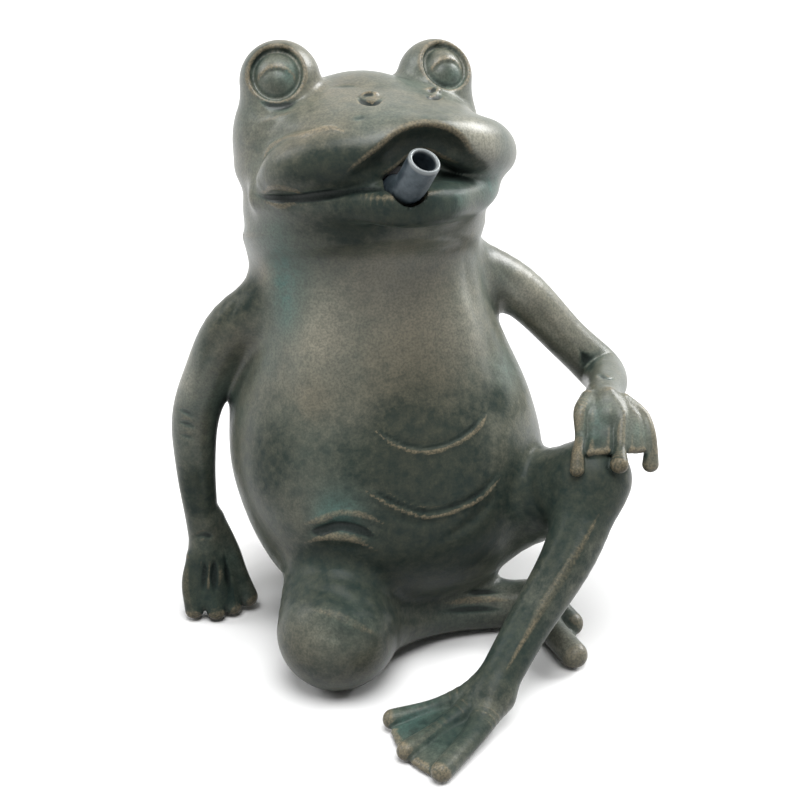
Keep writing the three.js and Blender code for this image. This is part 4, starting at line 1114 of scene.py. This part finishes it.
# %% Node helper
class Tree:
    """A node tree that is filled from left to right."""

    def __init__(self, tree):
        self.tree = tree

    def add(self, kind, output=0, inputs=None, **settings):
        node = self.tree.nodes.new(kind)
        for key, value in settings.items():
            setattr(node, key, value)
        for key, value in (inputs or {}).items():
            if isinstance(value, bpy.types.NodeSocket):
                self.tree.links.new(value, node.inputs[key])
            else:
                node.inputs[key].default_value = value
        return node.outputs[output] if node.outputs else node

    def math(self, operation, a, b=0.0, c=0.0):
        return self.add("ShaderNodeMath", inputs={0: a, 1: b, 2: c}, operation=operation)

    def mix(self, share, a, b):
        # Of the mix node's sockets, 6 and 7 take colours, and output 2 gives one
        return self.add("ShaderNodeMix", 2, {0: share, 6: a, 7: b}, data_type="RGBA")

    def between(self, value, low, high, to_low=0.0, to_high=1.0):
        return self.add("ShaderNodeMapRange", inputs={0: value, 1: low, 2: high, 3: to_low, 4: to_high})

    def noise(self, place, scale, detail=4.0, roughness=0.55):
        values = {"Vector": place, "Scale": scale, "Detail": detail, "Roughness": roughness}
        return self.add("ShaderNodeTexNoise", inputs=values)

    def attribute(self, name):
        return self.add("ShaderNodeAttribute", "Fac", attribute_name=name)

    def bump(self, height, strength, distance):
        return self.add("ShaderNodeBump", inputs={"Height": height, "Strength": strength, "Distance": distance})


def new_material(name):
    material = bpy.data.materials.new(name)
    material.use_nodes = True
    material.node_tree.nodes.clear()
    return material, Tree(material.node_tree)


def surface(tree, **values):
    shader = tree.add("ShaderNodeBsdfPrincipled", inputs={key.replace("_", " "): v for key, v in values.items()})
    tree.add("ShaderNodeOutputMaterial", inputs={"Surface": shader})


def rgb(red, green, blue):
    return (red, green, blue, 1.0)


print("node helper ready:", Tree.__doc__)

# %% [markdown]
# ## Patinated bronze
# The patina is laid in this order: brown metal with greenish clouds, warm places, painted highlights, verdigris,
# painted shade that also darkens towards the ground, painted shade in the hollows, and bare metal on the ridges,
# which is partly wear and partly painted highlight.
# Where the painted shade or the darkening towards the ground lies, the bronze is dull.

# %% Bronze
BROWN_DARK, BROWN_LIGHT = rgb(0.118, 0.126, 0.098), rgb(0.208, 0.205, 0.156)
GREENISH = rgb(0.085, 0.135, 0.118)
WARM_BROWN = rgb(0.27, 0.235, 0.165)
# Painted highlight, laid on the pale spots
PAINTED_HIGHLIGHT = rgb(0.43, 0.415, 0.335)
VERDIGRIS = rgb(0.085, 0.2, 0.178)
# Painted shade, and the darkening towards the ground, mix towards these colours
DARKENING_DEEP, DARKENING_SOFT = rgb(0.012, 0.026, 0.024), rgb(0.046, 0.056, 0.042)
# Painted shade in hollows and drawn grooves
HOLLOW_SHADE = rgb(0.008, 0.012, 0.011)
# Bare metal on ridges and raised lines: partly wear, partly painted highlight
BARE_METAL_AND_HIGHLIGHT = rgb(0.32, 0.26, 0.17)
GRIT = rgb(0.035, 0.045, 0.04)
# Scale, detail and roughness of the three noises
CLOUD, MOTTLE, GRAIN = (38.0, 5.0, 0.6), (230.0, 5.0, 0.65), (1100.0, 3.0, 0.6)
# Darker towards the ground: this share at the first height and below, none from the second height up, in metres
LOW_DARK_FULL, LOW_DARK_TOP, LOW_DARK_SHARE = 0.03, 0.13, 0.6
BRONZE_GLOSS, DARKENED_GLOSS = 0.45, 0.1
GREEN_ROUGHER = 0.12
PATINA_BUMP, PATINA_DEPTH = 0.45, 0.0006


def patinated_bronze():
    material, tree = new_material("patinated bronze")
    place = tree.add("ShaderNodeTexCoord", "Object")
    hollow, ridge, painted_shade = tree.attribute("hollow"), tree.attribute("ridge"), tree.attribute("painted_shade")
    verdigris, warmth, pale = tree.attribute("verdigris"), tree.attribute("warmth"), tree.attribute("pale")
    cloud, mottle, grain = tree.noise(place, *CLOUD), tree.noise(place, *MOTTLE), tree.noise(place, *GRAIN)
    colour = tree.mix(tree.between(mottle, 0.35, 0.68), BROWN_DARK, BROWN_LIGHT)
    colour = tree.mix(tree.between(cloud, 0.42, 0.7, 0.0, 0.5), colour, GREENISH)
    warm = tree.math("MULTIPLY", warmth, tree.between(mottle, 0.3, 0.7, 0.5, 1.0))
    colour = tree.mix(tree.math("MINIMUM", warm, 0.8), colour, WARM_BROWN)
    # Painted highlights on the pale spots
    highlight_share = tree.math("MULTIPLY", pale, tree.between(mottle, 0.3, 0.7, 0.6, 1.0))
    colour = tree.mix(tree.math("MINIMUM", highlight_share, 0.85), colour, PAINTED_HIGHLIGHT)
    green = tree.math("ADD", verdigris, tree.between(hollow, 0.15, 0.55, 0.0, 0.45))
    green = tree.math("MULTIPLY", green, tree.between(mottle, 0.3, 0.62, 0.25, 1.0))
    colour = tree.mix(tree.math("MINIMUM", green, 0.85), colour, VERDIGRIS)
    # Painted shade on the spots and in the mouth, and darker towards the ground
    height = tree.add("ShaderNodeSeparateXYZ", "Z", {0: place})
    low_dark = tree.between(height, LOW_DARK_FULL, LOW_DARK_TOP, LOW_DARK_SHARE, 0.0)
    darkening = tree.math("MULTIPLY", tree.math("ADD", painted_shade, low_dark), tree.between(mottle, 0.3, 0.7, 1.0, 0.78))
    dark = tree.mix(tree.between(mottle, 0.36, 0.64), DARKENING_DEEP, DARKENING_SOFT)
    colour = tree.mix(tree.math("MINIMUM", darkening, 0.86), colour, dark)
    # Painted shade in the hollows and drawn grooves
    colour = tree.mix(tree.between(hollow, 0.28, 0.75, 0.0, 0.92), colour, HOLLOW_SHADE)
    # Bare metal on ridges: partly wear, partly painted highlight
    bare_and_highlight = tree.math("MULTIPLY", tree.between(ridge, 0.5, 1.0, 0.0, 0.6), tree.between(grain, 0.35, 0.6, 0.5, 1.0))
    colour = tree.mix(bare_and_highlight, colour, BARE_METAL_AND_HIGHLIGHT)
    colour = tree.mix(tree.between(grain, 0.38, 0.6, 0.42, 0.0), colour, GRIT)
    rough = tree.between(mottle, 0.3, 0.7, 0.29, 0.4)
    rough = tree.math("ADD", rough, tree.math("MULTIPLY", tree.math("MINIMUM", green, 1.0), GREEN_ROUGHER))
    gloss = tree.between(darkening, 0.0, 0.8, BRONZE_GLOSS, DARKENED_GLOSS)
    relief = tree.math("ADD", tree.math("MULTIPLY", mottle, 0.6), tree.math("MULTIPLY", grain, 0.3))
    normal = tree.bump(relief, PATINA_BUMP, PATINA_DEPTH)
    surface(tree, Base_Color=colour, Roughness=rough, Normal=normal, Specular_IOR_Level=gloss)
    return material


BRONZE = patinated_bronze()
print(BRONZE.name, "has", len(BRONZE.node_tree.nodes), "nodes")

# %% [markdown]
# ## Pipe, fittings, rubber and hose
# The other finishes are plainer: two colours in fine blotches, and a gloss that varies with them. The pipe is
# dark and dull with a brighter rim where it was cut.

# %% Other finishes
BLOTCH_EDGES = (0.35, 0.65)
GLOSS_EDGES = (0.3, 0.7)
ROUGHNESS_SPREAD = 0.07
WORN_BUMP, PIPE_BUMP, WORN_DEPTH = 0.2, 0.25, 0.0003
FINER = 4
PIPE_DARK, PIPE_LIGHT, PIPE_CUT = rgb(0.03, 0.045, 0.058), rgb(0.08, 0.104, 0.12), rgb(0.2, 0.22, 0.225)
PIPE_SCALE, PIPE_METALLIC = 300.0, 0.3
PIPE_ROUGHNESS = (0.34, 0.46)


def worn_metal(name, dark, light, roughness, scale, metallic):
    """A metal whose colour and gloss vary in fine blotches."""
    material, tree = new_material(name)
    place = tree.add("ShaderNodeTexCoord", "Object")
    blotch = tree.noise(place, scale)
    colour = tree.mix(tree.between(blotch, *BLOTCH_EDGES), dark, light)
    rough = tree.between(blotch, *GLOSS_EDGES, roughness - ROUGHNESS_SPREAD, roughness + ROUGHNESS_SPREAD)
    normal = tree.bump(tree.noise(place, scale * FINER), WORN_BUMP, WORN_DEPTH)
    surface(tree, Base_Color=colour, Metallic=metallic, Roughness=rough, Normal=normal)
    return material


def weathered_pipe():
    """Dark blotched metal with a bright rim where the end was cut."""
    material, tree = new_material("weathered pipe")
    place = tree.add("ShaderNodeTexCoord", "Object")
    blotch = tree.noise(place, PIPE_SCALE)
    colour = tree.mix(tree.between(blotch, *BLOTCH_EDGES), PIPE_DARK, PIPE_LIGHT)
    colour = tree.mix(tree.attribute("cut"), colour, PIPE_CUT)
    rough = tree.between(blotch, *GLOSS_EDGES, *PIPE_ROUGHNESS)
    normal = tree.bump(tree.noise(place, PIPE_SCALE * FINER), PIPE_BUMP, WORN_DEPTH)
    surface(tree, Base_Color=colour, Metallic=PIPE_METALLIC, Roughness=rough, Normal=normal)
    return material


# A worn metal has a dark and a light colour, its roughness, the scale of its blotches and how metallic it is
FINISHES = {
    "bronze": BRONZE,
    "pipe": weathered_pipe(),
    "fittings": worn_metal("dull brass", rgb(0.30, 0.21, 0.075), rgb(0.47, 0.35, 0.14), 0.36, 220.0, 0.9),
    "steel": worn_metal("stainless steel", rgb(0.36, 0.36, 0.37), rgb(0.52, 0.52, 0.53), 0.3, 400.0, 0.95),
    "rubber": worn_metal("black rubber", rgb(0.012, 0.012, 0.013), rgb(0.03, 0.03, 0.031), 0.62, 500.0, 0.0),
    "hose": worn_metal("green hose", rgb(0.02, 0.05, 0.03), rgb(0.05, 0.09, 0.06), 0.5, 260.0, 0.0),
}
print("finishes:", ", ".join(material.name for material in FINISHES.values()))

# %% [markdown]
# ## The castings
# Each casting becomes one closed mesh with its patina, painted shade and painted highlights stored at its
# vertices. Small parts get a finer grid than the broad trunk. Along a seam, both castings take their normals from
# the common skin, so that the light runs on across it.

# %% Make the castings
STEPS = {"torso_casting": 1.3, "head_casting": 0.9}
LIMB_STEP = 1.0
PAW_STEP = 0.6
SEAM_STRIP = 1.6


def grid_step(name):
    step = STEPS.get(name, PAW_STEP if "hand" in name or "foot" in name else LIMB_STEP)
    return step * 1


def settle(piece, body, slot, *nodes):
    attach(piece, body)
    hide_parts(*nodes)
    return piece


def new_piece(name, vertices, faces, body, slot, *nodes):
    """A mesh object, in metres, that takes the place of these CAD nodes."""
    mesh = bpy.data.meshes.new(name)
    mesh.from_pydata(np.asarray(vertices, float) * MM, [], faces)
    mesh.update()
    mesh.shade_smooth()
    piece = bpy.data.objects.new(name, mesh)
    bpy.context.scene.collection.objects.link(piece)
    mesh.materials.append(FINISHES[slot])
    return settle(piece, body, slot, *nodes)


def store(piece, name, values):
    """Keep one number for each vertex, for the materials to read."""
    piece.data.attributes.new(name, "FLOAT", "POINT").data.foreach_set("value", values.astype(np.float32))


def seam_normals(fields, vertices, step):
    """Normals of the common skin along the seams. A row of zeros leaves a normal to the mesh itself."""
    skin, past, room = evaluate(fields, vertices)
    seam = np.flatnonzero((np.abs(past) < SEAM_STRIP * step) & (room < -step) & (skin > -step))
    normals = np.zeros((len(vertices), 3))
    slopes = slope(lambda p: fields(p)[0], vertices[seam], skin[seam], SLOPE_REACH * step)
    normals[seam] = slopes / np.maximum(np.linalg.norm(slopes, axis=1, keepdims=True), TINY)
    return normals


def make_casting(node):
    step = grid_step(node)
    fields = casting_fields(node)
    vertices, quads = skin_of(casting_layers(fields), *node_box(node, BOX_MARGIN), step)
    piece = new_piece(node.replace("_casting", ""), vertices, quads, "figure", "bronze", node)
    piece.data.normals_split_custom_set_from_vertices(seam_normals(fields, vertices, step).tolist())
    for name, values in weathering_and_painted_light(vertices, lambda p: fields(p)[0], RELIEF.get(node)).items():
        store(piece, name, values)
    print(f"  {piece.name}: {len(vertices)} vertices at {step:.2f} mm")
    return piece


castings = {node: make_casting(node) for node in SHAPES}
print("castings:", len(castings))

# %% [markdown]
# ## Spout pipe
# The spout is a short length of pipe with a bend: a tail through the lips and a rising end. Its end was cut
# with a saw and filed round, so that the rim is bright. The wall is swept along the bent line, outside and
# inside, and the two are joined by a rounded rim at both ends.

# %% Sweep the pipe
PIPE_BORE = 4.75
PIPE_SIDES = 64
RISE_STEPS, BEND_STEPS, TAIL_STEPS, RIM_STEPS = 5, 16, 7, 6


def pipe_line():
    start, end = bend_ends(0)
    share = np.linspace(0, 1, BEND_STEPS + 1)[:, None]
    bend = start * (1 - share) ** 2 + 2 * PIPE_BEND * share * (1 - share) + end * share ** 2
    straight = np.linspace(PIPE_END, start, RISE_STEPS + 1)[:-1]
    tail = np.linspace(end, tail_at(PIPE_TAIL), TAIL_STEPS + 1)[1:]
    return np.vstack([straight, bend, tail])


def sweep(line, radius):
    """Rings of this radius along a line that bends in one plane."""
    ways = np.gradient(line, axis=0)
    ways /= np.linalg.norm(ways, axis=1, keepdims=True)
    side = np.cross(ways[0], ways[-1])
    side /= np.linalg.norm(side)
    angles = np.linspace(0, 2 * math.pi, PIPE_SIDES, endpoint=False)
    rings = []
    for place, way in zip(line, ways):
        other = np.cross(way, side)
        ring = np.cos(angles)[:, None] * side + np.sin(angles)[:, None] * other
        rings.append(place + radius * ring)
    return rings


def ring_faces(count, sides):
    faces = []
    for k in range(count):
        for j in range(sides):
            here, there = k * sides, (k + 1) % count * sides
            faces.append((here + j, here + (j + 1) % sides, there + (j + 1) % sides, there + j))
    return faces


def make_pipe():
    line = pipe_line()
    outside, inside = sweep(line, PIPE_RADIUS), sweep(line, PIPE_BORE)
    wall = (PIPE_RADIUS - PIPE_BORE) / 2
    ends = [(outside, inside, line[-1] - line[-2]), (inside[::-1], outside[::-1], line[0] - line[1])]
    rings = []
    for near, far, outward in ends:
        rings += near[1:-1]
        outward = outward / np.linalg.norm(outward)
        middle = (near[-1] + far[-1]) / 2
        spread = (near[-1] - far[-1]) / 2
        for angle in np.linspace(0, math.pi, RIM_STEPS + 1):
            rings.append(middle + spread * math.cos(angle) + outward * wall * (math.sin(angle) - 1))
    vertices = from_head(np.vstack(rings))
    piece = new_piece("spout", vertices, ring_faces(len(rings), PIPE_SIDES), "spout", "pipe", "spout_pipe")
    cut = np.zeros(len(vertices))
    cut[-(RIM_STEPS + 1) * PIPE_SIDES:] = 1
    store(piece, "cut", cut)
    return piece


spout = make_pipe()
print("spout faces:", len(spout.data.polygons))

# %% [markdown]
# ## Base screws
# Four countersunk screws hold the plate under the seat. A screw is turned from bar and its cross recess is
# pressed into the head, and each one stops at its own angle when it is tight. A Geometry Nodes tree makes the
# screw once and copies it to the four places that the CAD model gives, so one change reaches them all.

# %% Make the screw and copy it
SCREW_NODES = [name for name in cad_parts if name.startswith("base_screw")]
SCREW_SIDES = 48
SCREW_SIZES = {
    "Head radius": 3.6, "Head depth": 2.0, "Shank radius": 1.9, "Length": 8.0, "Recess length": 4.2,
    "Recess width": 0.95, "Recess depth": 1.3, "Overlap": 0.2,
}
SHANK_PLAY = 0.02 * MM  # keeps the shank's side off the edge of the head
SCREW_SEED = 4


def screw_tree():
    group = bpy.data.node_groups.new("base screws", "GeometryNodeTree")
    group.interface.new_socket("Geometry", in_out="INPUT", socket_type="NodeSocketGeometry")
    for name in SCREW_SIZES:
        group.interface.new_socket(name, in_out="INPUT", socket_type="NodeSocketFloat")
    group.interface.new_socket("Seed", in_out="INPUT", socket_type="NodeSocketInt")
    group.interface.new_socket("Geometry", in_out="OUTPUT", socket_type="NodeSocketGeometry")
    tree = Tree(group)
    given = group.nodes.new("NodeGroupInput").outputs

    def vector(x, y, z):
        return tree.add("ShaderNodeCombineXYZ", inputs={"X": x, "Y": y, "Z": z})

    head = tree.add("GeometryNodeMeshCone", inputs={
        "Vertices": SCREW_SIDES, "Depth": given["Head depth"],
        "Radius Bottom": given["Head radius"], "Radius Top": given["Shank radius"]})
    length = tree.math("ADD", tree.math("SUBTRACT", given["Length"], given["Head depth"]), given["Overlap"])
    middle = tree.math("SUBTRACT", given["Length"], tree.math("MULTIPLY", length, 0.5))
    radius = tree.math("SUBTRACT", given["Shank radius"], SHANK_PLAY)
    shank = tree.add("GeometryNodeMeshCylinder", inputs={
        "Vertices": SCREW_SIDES, "Depth": length, "Radius": radius})
    shank = tree.add("GeometryNodeTransform", inputs={"Geometry": shank, "Translation": vector(0.0, 0.0, middle)})
    whole = tree.add("GeometryNodeMeshBoolean", operation="UNION", solver="EXACT").node
    for part in (head, shank):
        group.links.new(part, whole.inputs["Mesh 2"])
    recess = tree.math("MULTIPLY", given["Recess depth"], 2.0)
    arms = [vector(given["Recess length"], given["Recess width"], recess),
            vector(given["Recess width"], given["Recess length"], recess)]
    cross = tree.add("GeometryNodeMeshBoolean", operation="UNION", solver="EXACT").node
    for arm in arms:
        group.links.new(tree.add("GeometryNodeMeshCube", inputs={"Size": arm}), cross.inputs["Mesh 2"])
    screw = tree.add("GeometryNodeMeshBoolean", operation="DIFFERENCE", solver="EXACT", inputs={
        "Mesh 1": whole.outputs[0], "Mesh 2": cross.outputs[0]})
    limits = {2: 0.0, 3: math.pi / 2, "Seed": given["Seed"]}
    angle = tree.add("FunctionNodeRandomValue", 1, limits, data_type="FLOAT")
    copies = tree.add("GeometryNodeInstanceOnPoints", inputs={
        "Points": given["Geometry"], "Instance": screw, "Rotation": vector(0.0, 0.0, angle)})
    real = tree.add("GeometryNodeRealizeInstances", inputs={"Geometry": copies})
    dressed = tree.add("GeometryNodeSetMaterial", inputs={"Geometry": real, "Material": FINISHES["steel"]})
    tree.add("NodeGroupOutput", inputs={"Geometry": dressed})
    return group


def make_screws():
    boxes = [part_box(name) for name in SCREW_NODES]
    places = [((low[0] + high[0]) / 2, (low[1] + high[1]) / 2, low[2]) for low, high in boxes]
    mesh = bpy.data.meshes.new("screw places")
    mesh.from_pydata(places, [], [])
    piece = bpy.data.objects.new("base_screws", mesh)
    bpy.context.scene.collection.objects.link(piece)
    group = screw_tree()
    modifier = piece.modifiers.new("screws", "NODES")
    modifier.node_group = group
    values = {**{name: size * MM for name, size in SCREW_SIZES.items()}, "Seed": SCREW_SEED}
    for socket in group.interface.items_tree:
        if socket.in_out == "INPUT" and socket.name in values:
            modifier[socket.identifier] = values[socket.name]
    made = piece.evaluated_get(bpy.context.evaluated_depsgraph_get())
    result = bpy.data.meshes.new_from_object(made)
    piece.modifiers.clear()
    piece.data = result
    return settle(piece, "figure", "steel", *SCREW_NODES)


screws = make_screws()
print("screw faces:", len(screws.data.polygons), "at", len(SCREW_NODES), "places")

# %% [markdown]
# ## Finishes for what stays as CAD
# Dowels, clips, hose and fittings are hidden inside or are plain turned parts, so their CAD meshes stay. Each
# gets the finish that a word in its name calls for.

# %% Dress the CAD nodes
SLOT_WORDS = {
    "dowel": "steel", "screw": "steel", "clip": "steel", "grommet": "rubber", "washer": "rubber", "hose": "hose",
    "sleeve": "fittings", "inlet": "fittings", "plate": "bronze",
}


def slot_of(name):
    return next(slot for word, slot in SLOT_WORDS.items() if word in name)


shown = set(castings) | {"spout_pipe"} | set(SCREW_NODES)
for name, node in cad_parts.items():
    if name not in shown:
        node.data.materials.clear()
        node.data.materials.append(FINISHES[slot_of(name)])
print("CAD meshes dressed:", len(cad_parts) - len(shown))

# %% [markdown]
# ## Floor and light
# A pale floor carries the shadow. A broad soft light from almost overhead shapes the frog: what faces up is
# pale, and the lips, the throat and the lower belly fall into shade. One from the right and behind gives the
# bright edges, and a weaker one from the left does so on that side. The floor looks white and sends back less
# light than a white one would.

# %% Stage
FLOOR_HALF = 6.0
FLOOR_LEVEL = -0.0002
FLOOR_SEEN = 0.92
FLOOR_RETURN = 0.25
FLOOR_ROUGHNESS = 0.9
WORLD_SEEN = 1.0
WORLD_LIGHT = 0.1
# Of each sun: azimuth and elevation in degrees, strength, and spread in degrees
SUNS = {
    "soft light": (-15, 72, 3.0, 40),
    "right edge light": (105, 30, 3.2, 30),
    "left edge light": (-115, 35, 1.1, 30),
}


def seen_ray(tree):
    """One for a ray that looks at something, straight or in a reflection, and zero for one that lights it."""
    path = tree.add("ShaderNodeLightPath").node
    seen = tree.math("MAXIMUM", path.outputs["Is Camera Ray"], path.outputs["Is Transmission Ray"])
    return tree.math("MAXIMUM", seen, path.outputs["Is Glossy Ray"])


def add_floor():
    corners = [(x * FLOOR_HALF, y * FLOOR_HALF, FLOOR_LEVEL) for x, y in ((-1, -1), (1, -1), (1, 1), (-1, 1))]
    mesh = bpy.data.meshes.new("floor")
    mesh.from_pydata(corners, [], [(0, 1, 2, 3)])
    floor = bpy.data.objects.new("floor", mesh)
    bpy.context.scene.collection.objects.link(floor)
    material, tree = new_material("pale floor")
    colour = tree.mix(seen_ray(tree), rgb(*[FLOOR_RETURN] * 3), rgb(*[FLOOR_SEEN] * 3))
    surface(tree, Base_Color=colour, Roughness=FLOOR_ROUGHNESS)
    mesh.materials.append(material)


def add_sun(name, azimuth, elevation, strength, spread):
    """A soft sun. At azimuth 0 it shines from the front, and positive azimuths turn it to the right."""
    data = bpy.data.lights.new(name, "SUN")
    data.energy = strength
    data.angle = math.radians(spread)
    sun = bpy.data.objects.new(name, data)
    sun.rotation_euler = (math.radians(90 - elevation), 0, math.radians(azimuth))
    bpy.context.scene.collection.objects.link(sun)


def add_world():
    world = bpy.data.worlds.new("studio")
    world.use_nodes = True
    world.node_tree.nodes.clear()
    tree = Tree(world.node_tree)
    strength = tree.between(seen_ray(tree), 0.0, 1.0, WORLD_LIGHT, WORLD_SEEN)
    shader = tree.add("ShaderNodeBackground", inputs={"Color": rgb(1, 1, 1), "Strength": strength})
    tree.add("ShaderNodeOutputWorld", inputs={"Surface": shader})
    bpy.context.scene.world = world


add_floor()
add_world()
for name, setting in SUNS.items():
    add_sun(name, *setting)
bpy.context.scene.view_settings.view_transform = "Standard"
print("lights:", ", ".join(SUNS))
